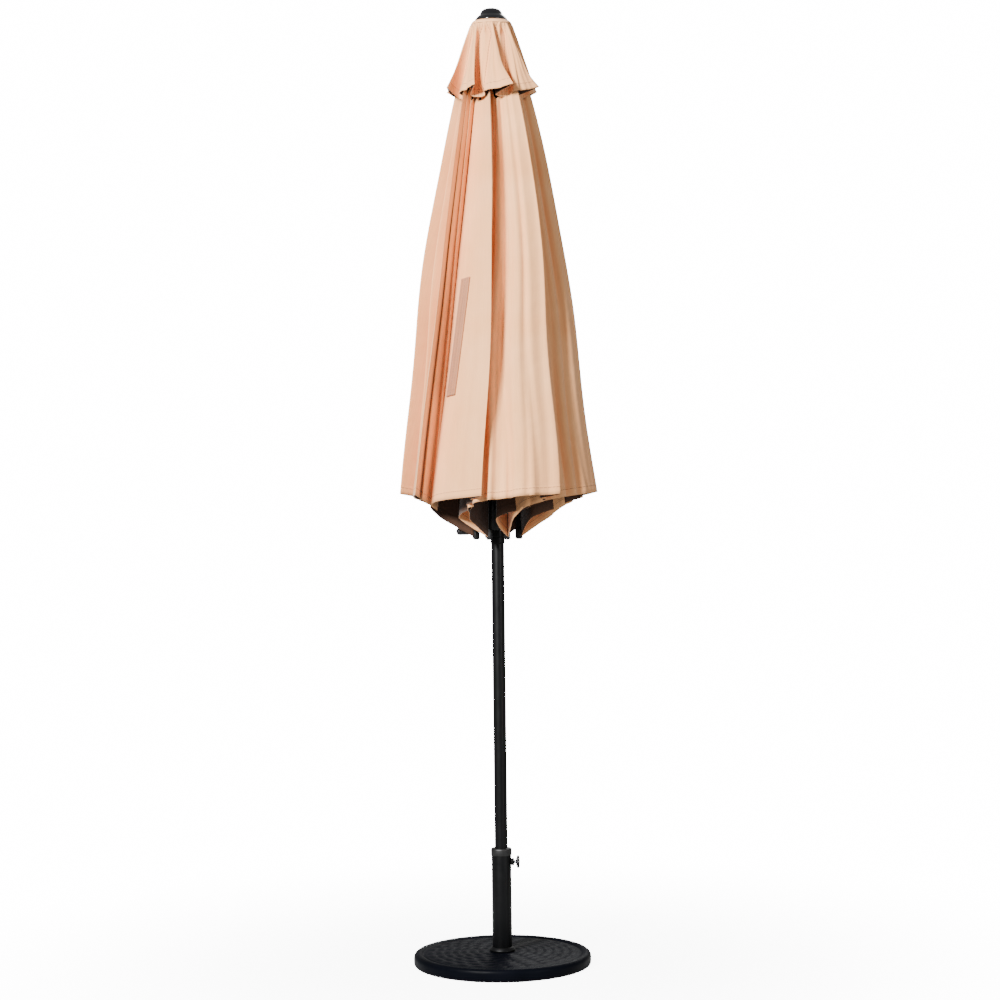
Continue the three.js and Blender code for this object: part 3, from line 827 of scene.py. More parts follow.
# ---- pole and lift --------------------------------------------------------------------------
@dataclass
class PoleAndLift:
    """The two-part pole, the crank, the runner, the hub and the finial."""

    shop: Workshop
    finishes: Finishes
    radius: float = 16.5
    wall: float = 1.5
    split: float = 1107.0
    cord_radius: float = 1.2
    cord_offset: float = 22.0
    hub_underside: float = 2383.0
    runner_height: float = 1279.74
    runner_eye: float = 34.0        # the cord's eye above the runner's own height
    crank_azimuth: float = 182.0

    def tubes(self) -> list[tuple[bpy.types.Object, str]]:
        """Builds the lower pole tube and the collar over its joint with the upper one.

        Returns:
            Each piece with the CAD node that it stands for.
        """
        outer, inner = self.radius, self.radius - self.wall
        low = turned("pole_lower_tube", softened([
            (outer, 55), (outer, self.split - 0.35), (inner, self.split - 0.35), (inner, 55),
            (outer, 55)], 0.5), 96, Ends.RING)
        collar = turned("pole_collar", softened([
            (outer + 0.35, 1088), (17.3, 1088), (18.2, 1091.5), (18.2, 1104.5), (17.7, 1105.3),
            (17.7, 1106.7), (18.2, 1107.5), (18.2, 1122), (17.6, 1123), (outer + 0.35, 1123),
            (outer + 0.35, 1088)], 0.7), 96, Ends.RING)
        return [(low, "lower_pole"), (collar, "pole_coupler")]

    def whole_finial(self) -> bpy.types.Object:
        """Builds the finial with its bore as one closed shape.

        Returns:
            The finial, in its place.
        """
        bore: Profile = [(0.0, 2447.5), (5.4, 2447.5)]
        outside = softened([
            (5.4, 2428), (40.6, 2428), (41.5, 2428.8), (41.5, 2430.6), (36.4, 2437),
            (29.5, 2442.5), (28.4, 2445), (27, 2449), (24, 2453.5), (18.5, 2457),
            (10, 2459.2), (0, 2460)], 1.0)
        return turned("finial_dome", bore + outside, 96, Ends.CAPPED, 50.0)

    def grip(self) -> bpy.types.Object:
        """Builds the crank's spinning grip, waisted and grooved.

        Returns:
            The grip, in its place on the crank arm.
        """
        profile: Profile = [(3.4, 0), (8.0, 0), (9.6, 2.5)]
        for i in range(6):
            at = 5.0 + i * 3.6
            profile += [(9.8, at), (9.1, at + 1.0), (9.1, at + 1.6), (9.8, at + 2.6)]
        profile += [(8.6, 28), (6.2, 31), (3.4, 31), (3.4, 0)]
        piece = turned("grip_barrel", softened(profile, 0.5, 2), 48, Ends.RING)
        for vertex in piece.data.vertices:
            x, y, z = vertex.co
            vertex.co = (z + 0.0735, y, -x + 1.121)
        face_outward(piece)
        swung(piece, self.crank_azimuth)
        return piece

    def cord_ends(self) -> tuple[float, float]:
        """Heights of the hub's underside and the runner's eye, in metres."""
        return self.hub_underside * MM, (self.runner_height + self.runner_eye) * MM

    def lift_cord(self) -> bpy.types.Object:
        """Builds the outside run of the lift cord, from the hub down to the runner.

        Returns:
            The cord, in its place beside the pole.
        """
        top, low = self.cord_ends()
        bpy.ops.object.select_all(action="DESELECT")
        bpy.ops.mesh.primitive_cylinder_add(
            vertices=12, radius=self.cord_radius * MM, depth=top - low,
            location=(self.cord_offset * MM, 0, (top + low) / 2))
        piece = bpy.context.active_object
        edited(piece, lambda: bpy.ops.mesh.bevel(offset=0.0004, segments=2, affect="EDGES"))
        settle(piece, "lift_cord_run")
        swung(piece, self.crank_azimuth)
        return piece

    def build(self) -> None:
        """Builds and dresses the pole and everything that it carries."""
        shop, look = self.shop, self.finishes
        for piece, node in self.tubes():
            shop.fit(piece, look.steel, Slot.BLACK_METAL, "pole", node)
        upper = shop.refined("upper_pole", "pole_upper_tube", 0.0002)
        shop.fit(upper, look.steel, Slot.BLACK_METAL, "pole", "upper_pole")
        shop.fit(self.whole_finial(), look.gloss, Slot.BLACK_PLASTIC, "pole", "finial")
        shop.fit(self.grip(), look.satin, Slot.BLACK_PLASTIC, "crank_grip", "crank_grip")
        plastic = {"crank_housing": ("crank_box", "pole", 0.0012),
                   "top_hub": ("hub_body", "pole", 0.0005),
                   "runner": ("runner_body", "runner", 0.0006)}
        for node, (name, body, rounding) in plastic.items():
            piece = shop.refined(node, name, rounding)
            shop.fit(piece, look.satin, Slot.BLACK_PLASTIC, body, node)
        arm = shop.refined("crank_arm", "crank_handle", 0.0007)
        shop.fit(arm, look.steel, Slot.BLACK_METAL, "crank", "crank_arm")
        cord = self.lift_cord()
        shop.fit(cord, look.cord, Slot.CORD, "pole", "lift_cord_outer")
        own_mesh(cord)
        shop.dress(look.cord, "lift_cord_inner")
        shop.dress(look.satin, "winding_spool", "cord_pulley", "canopy_clamp", "vent_spacer",
                   "pole_foot")
        shop.dress(look.steel, "pole_spigot")


@dataclass
class RibFrame:
    """The eight ribs with their tip caps, and the eight struts."""

    shop: Workshop
    finishes: Finishes
    pivot_radius: float = 32.0
    hub_height: float = 2400.0
    rib_length: float = 1294.0
    lean: float = math.atan(12 / 560)

    def tip_cap(self) -> bpy.types.Object:
        """Builds one moulded cap for the end of a rib that hangs down at +X.

        Returns:
            The cap, in its place on that rib.
        """
        reach = self.rib_length - 9.0
        bpy.ops.object.select_all(action="DESELECT")
        bpy.ops.mesh.primitive_cube_add(size=1.0)
        cap = bpy.context.active_object
        cap.scale = (0.0156, 0.0136, 0.030)
        bpy.ops.object.transform_apply(location=True, rotation=True, scale=True)
        edited(cap, lambda: bpy.ops.mesh.bevel(offset=0.0042, segments=4, affect="EDGES"))
        cap.rotation_euler = (0, -self.lean, 0)
        cap.location = ((self.pivot_radius + reach * math.sin(self.lean)) * MM, 0,
                        (self.hub_height - reach * math.cos(self.lean)) * MM)
        return settle(cap, "rib_tip_cap_1")

    def build(self) -> None:
        """Builds and dresses ribs, caps and struts."""
        shop, look = self.shop, self.finishes
        pattern = self.tip_cap()
        for i in range(SIDES):
            number = i + 1
            azimuth = FIRST_RIB_AZIMUTH + i * STEP_AZIMUTH
            rib = shop.refined(f"rib_{number}", f"rib_tube_{number}", 0.0005)
            shop.fit(rib, look.steel, Slot.BLACK_METAL, f"rib_{number}", f"rib_{number}")
            cap = copied(pattern, f"rib_cap_{number}")
            swung(cap, azimuth)
            shop.fit(cap, look.satin, Slot.BLACK_PLASTIC, f"rib_{number}")
            strut = shop.refined(f"strut_{number}", f"strut_bar_{number}", 0.0007)
            shop.fit(strut, look.steel, Slot.BLACK_METAL, f"strut_{number}", f"strut_{number}")
        bpy.data.objects.remove(pattern)


# ---- cloth ----------------------------------------------------------------------------------
@dataclass(frozen=True)
class FoldPlan:
    """How one cloth panel hangs folded, and where each of its points is when it is open.

    A panel's own frame has x along the panel's width, anticlockwise from above, y outward and z
    up. `across` runs from -1 at one seam to 1 at the other, and `down` is metres along the seam
    from the top of its straight line. Folded and open places of a point lie on one circle about
    the panel's fold axis, so turning the point about that axis opens the cloth.
    """

    apex: float                         # height where the fold axis meets the pole's axis
    lean: float                         # degrees from straight down to the fold axis
    start: tuple[float, float]          # radius and height of the open seam's upper end
    slope: float                        # degrees from straight down to the open seam
    length: float                       # of the seam, in metres
    sag: float                          # depth of the open panel's hollow, in metres
    sag_by: float                       # metres down the seam where the hollow is full
    crest: float                        # place of the outermost fold
    places: tuple[float, ...]           # places across the panel where the folds are given
    hem_shares: tuple[float, ...]       # lateral place there, as a share of the crest's
    top_shares: tuple[float, ...]
    outline: Callable[[Grid], Grid]     # outer radius of the folded cloth at a height
    pinned: float = -1.0                # metres down the seam that stay as when open
    easing: float = 0.03                # metres over which the folds then form

    def opened(self, across: Grid, down: Grid) -> tuple[Grid, Grid, Grid]:
        """Finds where points are on the open canopy.

        Args:
            across: place between the seams.
            down: metres down the seam.

        Returns:
            x, y and z of each point in the panel's frame, in metres.
        """
        slope = math.radians(self.slope)
        radius = self.start[0] + down * math.sin(slope)
        height = self.start[1] - down * math.cos(slope)
        hollow = self.sag * (1 - across ** 2) * np.minimum(1, down / self.sag_by)
        return (across * radius * math.sin(HALF_SIDE),
                radius * math.cos(HALF_SIDE) - 0.34 * hollow, height - 0.94 * hollow)

    def about_axis(self, across: Grid, down: Grid) -> tuple[Grid, Grid]:
        """Measures points against the fold axis.

        Args:
            across: place between the seams.
            down: metres down the seam.

        Returns:
            How far along the axis each point lies, and how far from it, in metres.
        """
        x, y, z = self.opened(across, down)
        lean, drop = math.radians(self.lean), z - self.apex
        along = y * math.sin(lean) - drop * math.cos(lean)
        return along, np.sqrt(np.maximum(x * x + y * y + drop * drop - along ** 2, 1e-12))

    def folded(self, across: Grid, down: Grid, lateral: Grid) -> tuple[Grid, Grid]:
        """Folds points to a chosen lateral place.

        Args:
            across: place between the seams.
            down: metres down the seam.
            lateral: x in the panel's frame, in metres.

        Returns:
            The folded points (..., 3), and each one's share of the fold body's turn.
        """
        x, y, z = self.opened(across, down)
        lean, drop = math.radians(self.lean), z - self.apex
        along, reach = self.about_axis(across, down)
        sine = lateral / reach
        sine = sine / (1 + np.abs(sine / SINE_LIMIT) ** 8) ** 0.125
        cosine = np.sqrt(1 - sine ** 2)
        points = np.stack([reach * sine,
                           along * math.sin(lean) - reach * cosine * math.cos(lean),
                           self.apex - along * math.cos(lean)
                           - reach * cosine * math.sin(lean)], axis=-1)
        outward = y * math.cos(lean) + drop * math.sin(lean)
        opened_at = np.arctan2(x, -outward)
        beyond = (outward > 0) & (opened_at < 0)
        share = (opened_at + np.where(beyond, 2 * math.pi, 0) - np.arcsin(sine)) / FOLD_TURN
        still = outward <= 0
        rest = np.stack([x, y, z], axis=-1)
        return np.where(still[..., None], rest, points), np.where(still, 0, share)

    def solve(self, across: float, down: Grid,
              excess: Callable[[Grid], Grid], high: float) -> Grid:
        """Finds, by halving, the lateral place at which a measure of the point crosses zero.

        Args:
            across: place between the seams.
            down: metres down the seam.
            excess: the measure, of the folded points.
            high: the largest lateral place to try, in metres.

        Returns:
            A lateral place for each of `down`.
        """
        low_end, high_end = np.zeros_like(down), np.full_like(down, high)
        place = np.full_like(down, across)
        for _ in range(34):
            middle = (low_end + high_end) / 2
            under = excess(self.folded(place, down, middle)[0]) < 0
            low_end = np.where(under, middle, low_end)
            high_end = np.where(under, high_end, middle)
        return low_end

    def table(self, across: Grid, down: Grid, crest_gain: float) -> Grid:
        """Lateral place for every pairing of `down` (rows) and `across` (columns).

        Args:
            across: places between the seams, rising.
            down: metres down the seam, rising.
            crest_gain: how much further than the outline this panel's outer fold reaches.

        Returns:
            The lateral places, in metres.
        """
        seam = self.solve(1.0, down, lambda p: p[..., 0] / math.tan(HALF_SIDE) - p[..., 1], 0.1)
        tip = self.solve(self.crest, down, lambda p: np.hypot(p[..., 0], p[..., 1])
                         - self.outline(p[..., 2]), 0.4) * crest_gain
        crest = np.full_like(down, self.crest)
        tip = np.minimum(tip, CREST_LIMIT * self.about_axis(crest, down)[1])
        ripe = np.clip((down - down[0]) / (self.length - down[0]), 0, 1)
        rows = []
        for i in range(len(down)):
            mixed = (np.array(self.hem_shares) * ripe[i]
                     + np.array(self.top_shares) * (1 - ripe[i])) * tip[i]
            knots = np.concatenate([[-seam[i]], mixed, [seam[i]]])
            rows.append(smooth_through(np.array((-1.0, *self.places, 1.0)), knots, across))
        flat = self.opened(*np.meshgrid(across, down))[0]
        eased = np.clip((down - self.pinned) / self.easing, 0, 1)[:, None]
        eased = eased ** 2 * (3 - 2 * eased)
        return flat * (1 - eased) + np.array(rows) * eased


def smooth_through(places: Grid, values: Grid, wanted: Grid) -> Grid:
    """A smooth curve through knots that turns only where the knots do.

    Args:
        places: the knots' places, rising.
        values: the knots' values.
        wanted: where the curve is read.

    Returns:
        The curve's values there.
    """
    slope = np.zeros_like(values)
    step, rise = np.diff(places), np.diff(values)
    slope[1:-1] = (values[2:] - values[:-2]) / (places[2:] - places[:-2])
    slope[1:-1][rise[1:] * rise[:-1] <= 0] = 0
    slope[0], slope[-1] = rise[0] / step[0], rise[-1] / step[-1]
    at = np.clip(np.searchsorted(places, wanted, side="right") - 1, 0, len(places) - 2)
    width, t = step[at], (wanted - places[at]) / step[at]
    return ((2 * t ** 3 - 3 * t ** 2 + 1) * values[at]
            + (t ** 3 - 2 * t ** 2 + t) * width * slope[at]
            + (3 * t ** 2 - 2 * t ** 3) * values[at + 1]
            + (t ** 3 - t ** 2) * width * slope[at + 1])


def canopy_outline(height: Grid) -> Grid:
    """Outer radius of the folded main canopy at a height, in metres."""
    return 0.258 * (np.maximum(2.4445 - height, 1e-4) / 1.2) ** 0.54


def vent_outline(height: Grid) -> Grid:
    """Outer radius of the folded vent at a height, in metres."""
    drop = np.maximum(2.433 - height, 0) / MM
    return np.minimum(27 + 1.4 * drop, 47 + 0.36 * drop + 12 * (drop / 170) ** 5) * MM


MAIN_PLAN = FoldPlan(
    apex=2.4445, lean=38.21, start=(0.03471, 2.40753), slope=70.2276, length=1.294,
    sag=0.008, sag_by=0.6, crest=0.12,
    places=(-.85, -.68, -.5, -.34, -.2, -.08, .03, .12, .22, .29, .4, .47, .58, .7, .86),
    hem_shares=(-.36, -.52, -.50, -.30, -.02, .33, .70, 1, .66, .76, .44, .50, .14, -.06, .02),
    top_shares=(-.26, -.30, -.20, .0, .26, .5, .78, 1, .74, .80, .58, .60, .36, .2, .16),
    outline=canopy_outline)

VENT_PLAN = FoldPlan(
    apex=2.4752, lean=41.88, start=(0.030, 2.4265), slope=69.54, length=0.216,
    sag=0.002, sag_by=0.1, crest=0.1,
    places=(-.78, -.55, -.34, -.12, .1, .3, .5, .74),
    hem_shares=(-.46, -.50, -.18, .42, 1, .66, .36, .14),
    top_shares=(-.40, -.36, -.05, .5, 1, .8, .5, .3),
    outline=vent_outline, pinned=0.016, easing=0.035)


@dataclass
class ClothPanel:
    """One panel of cloth, folded: its grid of points, and what they do as it opens."""

    plan: FoldPlan
    number: int
    columns: int
    rows: int
    top_edge: Callable[[Grid], Grid]
    hem_edge: Callable[[Grid], Grid]
    ripple: float                       # height of the soft folds at the hem, in metres
    sway: float                         # how far the folds wander sideways, in metres
    phases: Grid = field(init=False)
    ladder: Grid = field(init=False)
    stops: Grid = field(init=False)
    laterals: Grid = field(init=False)

    def __post_init__(self) -> None:
        """Works out the table of lateral places that the panel's points are read from."""
        dice = np.random.default_rng(40 + self.number)
        self.phases = dice.uniform(0, 2 * math.pi, 6)
        gain = 1.0 - 0.05 * dice.random()
        self.stops = np.linspace(-1, 1, 201)
        first = float(np.min(self.top_edge(self.stops)))
        self.ladder = np.linspace(first, float(np.max(self.hem_edge(self.stops))), 70)
        self.laterals = self.plan.table(self.stops, self.ladder, gain)

    def lateral(self, across: Grid, down: Grid) -> Grid:
        """Finds where points lie sideways on the folded panel, with its own wander.

        Args:
            across: place between the seams.
            down: metres down the seam.

        Returns:
            x of each point in the panel's frame, in metres.
        """
        row = np.clip((down - self.ladder[0]) / (self.ladder[1] - self.ladder[0]), 0,
                      len(self.ladder) - 1.001)
        column = np.clip((across + 1) / (self.stops[1] - self.stops[0]), 0,
                         len(self.stops) - 1.001)
        i, j = row.astype(int), column.astype(int)
        v, u = row - i, column - j
        grid = self.laterals
        steady = ((grid[i, j] * (1 - u) + grid[i, j + 1] * u) * (1 - v)
                  + (grid[i + 1, j] * (1 - u) + grid[i + 1, j + 1] * u) * v)
        share = down / self.plan.length
        wander = np.sin(7.5 * share + self.phases[0]) + 0.5 * np.sin(15 * share + self.phases[1])
        return steady + self.sway * wander * (1 - across ** 2) * np.minimum(1, share * 1.6)

    def relief(self, across: Grid, down: Grid) -> Grid:
        """Works out the soft folds on the panel's outer face.

        Args:
            across: place between the seams.
            down: metres down the seam.

        Returns:
            Their height at each point, in metres.
        """
        share = down / self.plan.length
        waves = np.zeros_like(across)
        for (pitch, drift, weight), phase in zip(SOFT_FOLDS, self.phases[2:]):
            ridge = np.sin(pitch * across + drift * share + phase)
            waves += weight * (1 - np.exp(-(ridge / VALLEY) ** 2))
        rise = np.clip((across + 0.6) / 0.3, 0, 1)
        fall = np.clip((self.plan.crest - across) / 0.14, 0, 1)
        window = rise ** 2 * (3 - 2 * rise) * fall ** 2 * (3 - 2 * fall)
        return self.ripple * (0.2 + 0.8 * share) * waves * window

    def place(self, across: Grid, down: Grid) -> tuple[Grid, Grid]:
        """Folded world points of a grid on the panel.

        Args:
            across: place between the seams, (rows, columns).
            down: metres down the seam, (rows, columns).

        Returns:
            The points (rows, columns, 3), and each one's share of the fold body's turn.
        """
        points, share = self.plan.folded(across, down, self.lateral(across, down))
        side, fall = np.gradient(points, axis=1), np.gradient(points, axis=0)
        normal = np.cross(side, fall)
        normal /= np.maximum(np.linalg.norm(normal, axis=-1, keepdims=True), 1e-12)
        points = points + normal * self.relief(across, down)[..., None]
        azimuth = math.radians(FIRST_RIB_AZIMUTH + (self.number - 0.5) * STEP_AZIMUTH)
        out = np.array([math.cos(azimuth), math.sin(azimuth), 0])
        along = np.array([-math.sin(azimuth), math.cos(azimuth), 0])
        world = (points[..., :1] * along + points[..., 1:2] * out
                 + points[..., 2:] * np.array([0, 0, 1.0]))
        return world, share

    def grid(self) -> tuple[Grid, Grid]:
        """The panel's own grid, even from its top edge to its hem.

        Returns:
            `across` and `down` for each point.
        """
        line = np.linspace(-1, 1, self.columns)
        top, hem = self.top_edge(line), self.hem_edge(line)
        part = np.linspace(0, 1, self.rows)[:, None]
        return np.broadcast_to(line, (self.rows, self.columns)), top + (hem - top) * part

    def flat_area(self) -> float:
        """Works out the area of the open panel.

        Returns:
            Square metres.
        """
        across, down = self.grid()
        points = np.stack(self.plan.opened(across, down), axis=-1)
        first, second = points[1:, 1:] - points[:-1, :-1], points[1:, :-1] - points[:-1, 1:]
        return float(np.sum(np.linalg.norm(np.cross(first, second), axis=-1)) / 2)

    def mesh(self, name: str) -> bpy.types.Object:
        """Builds the folded panel as a sheet with its weave coordinates.

        Args:
            name: the piece's name.

        Returns:
            The piece, with each point's share of the fold body's turn kept in its mesh.
        """
        across, down = self.grid()
        world, share = self.place(across, down)
        radius = self.plan.start[0] + down * math.sin(math.radians(self.plan.slope))
        half_width = radius * math.sin(HALF_SIDE)
        hem = self.hem_edge(across[0])
        coords = np.stack([across * half_width, (hem - down) * 0.933], axis=-1)
        return sheet_of(name, world, coords, (1 - np.abs(across)) * half_width, share)


def sheet_of(name: str, points: Grid, coords: Grid, seam: Grid,
             share: Grid | None) -> bpy.types.Object:
    """Makes a sheet from a grid of points, rows from top to bottom.

    Args:
        name: the piece's name.
        points: world places (rows, columns, 3).
        coords: weave coordinates in metres (rows, columns, 2).
        seam: distance from the nearest sewn edge in metres.
        share: each point's share of the fold body's turn, kept for the blend.

    Returns:
        The piece.
    """
    rows, columns = points.shape[:2]
    corner = (np.arange(rows - 1)[:, None] * columns + np.arange(columns - 1)).ravel()
    faces = np.stack([corner + columns, corner + columns + 1, corner + 1, corner], axis=-1)
    mesh = bpy.data.meshes.new(name)
    mesh.from_pydata(points.reshape(-1, 3).tolist(), [], faces.tolist())
    layer = mesh.uv_layers.new(name="cloth")
    order = np.empty(len(mesh.loops), dtype=np.int32)
    mesh.loops.foreach_get("vertex_index", order)
    layer.data.foreach_set("uv", coords.reshape(-1, 2)[order].astype(np.float32).ravel())
    attribute = mesh.attributes.new("seam", "FLOAT", "POINT")
    attribute.data.foreach_set("value", seam.astype(np.float32).ravel())
    if share is not None:
        kept = mesh.attributes.new("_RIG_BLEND", "FLOAT", "POINT")
        kept.data.foreach_set("value", share.astype(np.float32).ravel())
    piece = bpy.data.objects.new(name, mesh)
    bpy.context.scene.collection.objects.link(piece)
    select_only(piece)
    bpy.ops.object.shade_smooth()
    return piece


def thickened(piece: bpy.types.Object, thickness: float, lining: bpy.types.Material,
              side: float = -1.0) -> None:
    """Gives a sheet its cloth's thickness, and a finish of its own on its inner side, which on every sheet
    here is a painted shade.

    Args:
        piece: the sheet.
        thickness: of the cloth, in metres.
        lining: the finish of its inner side: the canopy's panels and crown get the dark brown underside
            painted as shade, the strap its own cloth, painted in shade as well.
        side: -1 puts the thickness inside the sheet's face, 1 outside it.
    """
    piece.data.materials.append(lining)
    solidify = piece.modifiers.new("Cloth thickness", "SOLIDIFY")
    solidify.thickness, solidify.offset = thickness, side
    # The inner faces take the second material, a painted shade.
    solidify.material_offset = 1


@dataclass
class Canopy:
    """The folded canopy: eight main panels, the vent over them, the crown and the tie strap."""

    shop: Workshop
    finishes: Finishes
    cloth_thickness: float = 0.0007
    strap_width: float = 0.033
    strap_span: tuple[float, float] = (0.69, 1.008)       # metres down the seam, top and bottom
    strap_middle: tuple[float, float] = (0.016, -0.008)   # lateral place of its middle there
    calm_panel: int = 5             # hangs almost flat, and carries the tie strap
    ripple: float = 0.020           # height of a panel's soft folds, in metres
    ripples: dict[int, float] = field(default_factory=lambda: {5: 0.003, 6: 0.044, 7: 0.040})
    main_flat: tuple[float, float] = (0.9585, 1.12)
    vent_flat: tuple[float, float] = (0.178, 0.211)

    @staticmethod
    def main_top(across: Grid) -> Grid:
        """Scalloped edge of the opening at the top of the main canopy."""
        waves = np.abs(np.sin((across - MAIN_PLAN.crest) * math.pi / 0.24)) ** 0.8
        return 0.155 + 0.045 * waves * np.maximum(1 - across ** 8, 0)

    @staticmethod
    def main_hem(across: Grid) -> Grid:
        """Straight hem of a main panel."""
        return np.full_like(across, MAIN_PLAN.length)

    @staticmethod
    def vent_top(across: Grid) -> Grid:
        """Edge of a vent panel under the crown."""
        return np.zeros_like(across)

    @staticmethod
    def vent_hem(across: Grid) -> Grid:
        """Slightly bowed hem of a vent panel."""
        return VENT_PLAN.length + 0.009 * (1 - across ** 2)

    def bend(self, piece: bpy.types.Object, body: str) -> None:
        """Makes a sheet turn from the pole to its fold body by the shares it was made with.

        Args:
            piece: a sheet whose shares are in its mesh.
            body: the fold body.
        """
        shares = np.empty(len(piece.data.vertices), dtype=np.float32)
        piece.data.attributes["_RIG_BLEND"].data.foreach_get("value", shares)
        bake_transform(piece, "pole", body, start=(0, 0, 2.4), end=(0, 0, 1.2))
        piece.data.attributes["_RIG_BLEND"].data.foreach_set("value", shares)

    def panel(self, number: int) -> ClothPanel:
        """Plans a main panel.

        Args:
            number: which of the eight, from 1.

        Returns:
            The plan.
        """
        ripple = self.ripples.get(number, self.ripple)
        return ClothPanel(MAIN_PLAN, number, 161, 104, self.main_top, self.main_hem,
                          ripple, 0.005)

    def vent(self, number: int) -> ClothPanel:
        """The vent panel of a number."""
        return ClothPanel(VENT_PLAN, number, 57, 44, self.vent_top, self.vent_hem,
                          0.007, 0.001)

    def lay_panel(self, panel: ClothPanel, name: str, body: str, node: str) -> None:
        """Builds, dresses and thickens one panel, and makes it turn with its fold body.

        Args:
            panel: the panel.
            name: the piece's name.
            body: the fold body that it opens with.
            node: the CAD node that it stands for.
        """
        piece = panel.mesh(name)
        self.bend(piece, body)
        self.shop.fit(piece, self.finishes.cloth, Slot.CANVAS, None, node)
        # Its inner side is painted dark brown as shade.
        thickened(piece, self.cloth_thickness, self.finishes.lining)
        panel.flat_area()

    def crown(self) -> None:
        """Builds the round crown patch that the finial clamps over the vent's top."""
        profile = softened([(6, 2427.6), (41, 2427.6), (46, 2426.4), (50, 2422.8), (53, 2417.4)],
                           2.5, 4)
        patch = turned("crown_patch", profile, 128, Ends.OPEN, 60.0)
        points = np.array([v.co for v in patch.data.vertices])
        layer = patch.data.uv_layers.get("cloth") or patch.data.uv_layers.new(name="cloth")
        order = [loop.vertex_index for loop in patch.data.loops]
        layer.data.foreach_set("uv", points[order][:, :2].astype(np.float32).ravel())
        edge = 0.053 - np.hypot(points[:, 0], points[:, 1])
        attribute = patch.data.attributes.new("seam", "FLOAT", "POINT")
        attribute.data.foreach_set("value", edge.astype(np.float32))
        self.shop.fit(patch, self.finishes.cloth, Slot.CANVAS, "pole")
        thickened(patch, 0.0009, self.finishes.lining)

    def strap(self, panel: ClothPanel) -> None:
        """Builds the loose tie strap that hangs on the front left panel.

        Args:
            panel: the main panel that it hangs on.
        """
        rows, columns = 70, 13
        down = np.linspace(*self.strap_span, rows)
        middle = np.interp(down, self.strap_span, self.strap_middle)
        part = np.linspace(-0.5, 0.5, columns)
        search = np.linspace(-0.5, 0.12, 260)
        across = np.empty((rows, columns))
        for i, level in enumerate(down):
            laterals = panel.lateral(search, np.full_like(search, level))
            across[i] = np.interp(middle[i] + part * self.strap_width,
                                  np.maximum.accumulate(laterals), search)
        grid_down = np.broadcast_to(down[:, None], (rows, columns))
        world, share = panel.place(across, grid_down)
        coords = np.stack(np.broadcast_arrays(
            part * self.strap_width, 0.004 + (down[-1] - down)[:, None]), axis=-1)
        seam = np.broadcast_to((0.5 - np.abs(part)) * self.strap_width - 0.001, (rows, columns))
        piece = sheet_of("tie_band", world, coords, np.ascontiguousarray(seam), share)
        self.bend(piece, f"panel_{panel.number}")
        # Painted shade: the strap is dressed in cloth darkened to stand in for its shade.
        self.shop.fit(piece, self.finishes.webbing, Slot.CANVAS, None, "tie_strap")
        thickened(piece, 0.004, self.finishes.webbing, 1.0)

    def build(self) -> None:
        """Builds every piece of cloth."""
        for number in range(1, SIDES + 1):
            main = self.panel(number)
            self.lay_panel(main, f"canopy_cloth_{number}", f"panel_{number}",
                           f"canopy_panel_{number}")
            self.lay_panel(self.vent(number), f"vent_cloth_{number}", f"vent_{number}",
                           f"vent_panel_{number}")
            if number == self.calm_panel:
                self.strap(main)
        self.crown()


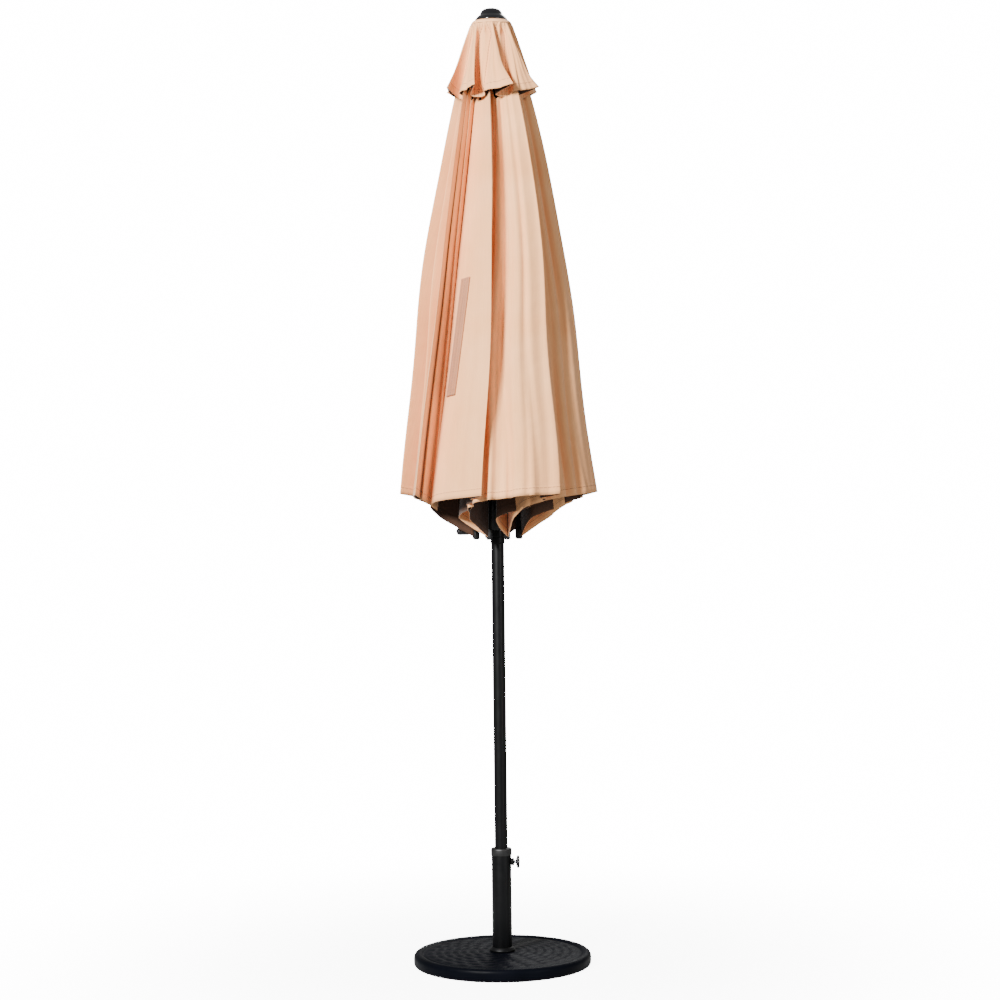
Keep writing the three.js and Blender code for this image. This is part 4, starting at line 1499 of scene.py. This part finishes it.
# ---- studio ---------------------------------------------------------------------------------
@dataclass
class Studio:
    """Camera, pale floor and soft light."""

    eye: tuple[float, float, float] = (0.0, -6.5, 1.37)
    target: tuple[float, float, float] = (0.0075, 0.0, 1.2004)
    roll: float = -0.69             # degrees
    lens: float = 91.0
    floor_half: float = 3.0
    softboxes: tuple = (("key_softbox", (-3.0, -4.9, 4.2), 1.1, 1400.0),
                        ("fill_softbox", (4.2, -4.0, 1.8), 2.4, 90.0),
                        ("back_softbox", (1.5, 4.5, 4.0), 3.0, 110.0))

    def camera(self) -> None:
        """Adds the camera."""
        bpy.ops.object.camera_add(location=self.eye)
        camera = bpy.context.active_object
        camera.name = "camera"
        aim = (Vector(self.target) - Vector(self.eye)).to_track_quat("-Z", "Y")
        camera.rotation_mode = "QUATERNION"
        camera.rotation_quaternion = aim @ Quaternion((0, 0, 1), math.radians(self.roll))
        camera.data.lens, camera.data.sensor_width = self.lens, 36.0
        camera.data.clip_start, camera.data.clip_end = 0.1, 100.0
        bpy.context.scene.camera = camera

    def floor(self) -> None:
        """Adds the floor: pale paper that fades into the white backdrop."""
        bpy.ops.object.select_all(action="DESELECT")
        bpy.ops.mesh.primitive_grid_add(x_subdivisions=8, y_subdivisions=8,
                                        size=2 * self.floor_half, location=(0, 0, -0.0005))
        floor = settle(bpy.context.active_object, "studio_floor")
        material, tree, shader = Finish("seamless paper", "#F4F4F4", 0.9).start()
        where = add_node(tree, "ShaderNodeTexCoord").outputs["Object"]
        grain = add_node(tree, "ShaderNodeTexNoise", {"Scale": 30.0}, {"Vector": where})
        bump = add_node(tree, "ShaderNodeBump", {"Strength": 0.02},
                        {"Height": grain.outputs[0]})
        tree.links.new(bump.outputs[0], shader.inputs["Normal"])
        reach = add_node(tree, "ShaderNodeVectorMath", links={0: where}, operation="LENGTH")
        solid = add_node(tree, "ShaderNodeMapRange", {
            "From Min": 0.26, "From Max": 1.8, "To Min": 0.45, "To Max": 0.0},
            {"Value": reach.outputs["Value"]}, interpolation_type="SMOOTHSTEP")
        tree.links.new(solid.outputs[0], shader.inputs["Alpha"])
        floor.data.materials.append(material)

    def light(self, name: str, place: tuple[float, float, float], size: float,
              watts: float) -> None:
        """Adds a soft square light that faces the canopy.

        Args:
            name: the light's name.
            place: where it hangs, in metres.
            size: its side in metres.
            watts: its power.
        """
        bpy.ops.object.light_add(type="AREA", location=place)
        light = bpy.context.active_object
        light.name = name
        light.data.size, light.data.energy = size, watts
        light.rotation_euler = (Vector((0, 0, 1.3)) - Vector(place)).to_track_quat(
            "-Z", "Y").to_euler()

    def build(self) -> None:
        """Builds the studio."""
        self.camera()
        self.floor()
        for name, place, size, watts in self.softboxes:
            self.light(name, place, size, watts)
        world = bpy.data.worlds.new("studio_world")
        bpy.context.scene.world = world
        world.use_nodes = True
        world.node_tree.nodes.clear()
        sky, backdrop = (add_node(world.node_tree, "ShaderNodeBackground",
                                  {"Color": (1.0, 1.0, 1.0, 1.0), "Strength": strength})
                         for strength in (0.34, 16.0))
        seen = add_node(world.node_tree, "ShaderNodeLightPath").outputs["Is Camera Ray"]
        both = add_node(world.node_tree, "ShaderNodeMixShader", links={
            0: seen, 1: sky.outputs[0], 2: backdrop.outputs[0]})
        add_node(world.node_tree, "ShaderNodeOutputWorld", links={"Surface": both.outputs[0]})


def main() -> None:
    """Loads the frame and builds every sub-assembly in order."""
    logging.basicConfig(level=logging.INFO, format="%(name)s: %(message)s")
    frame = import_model()
    Studio().build()
    shop = Workshop(frame["nodes"])
    finishes = Finishes.make()
    WeightedBase(shop, finishes).build()
    PoleAndLift(shop, finishes).build()
    RibFrame(shop, finishes).build()
    Canopy(shop, finishes).build()
    LOG.info("%d pieces made", shop.made)
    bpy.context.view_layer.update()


if __name__ == "__main__":
    main()
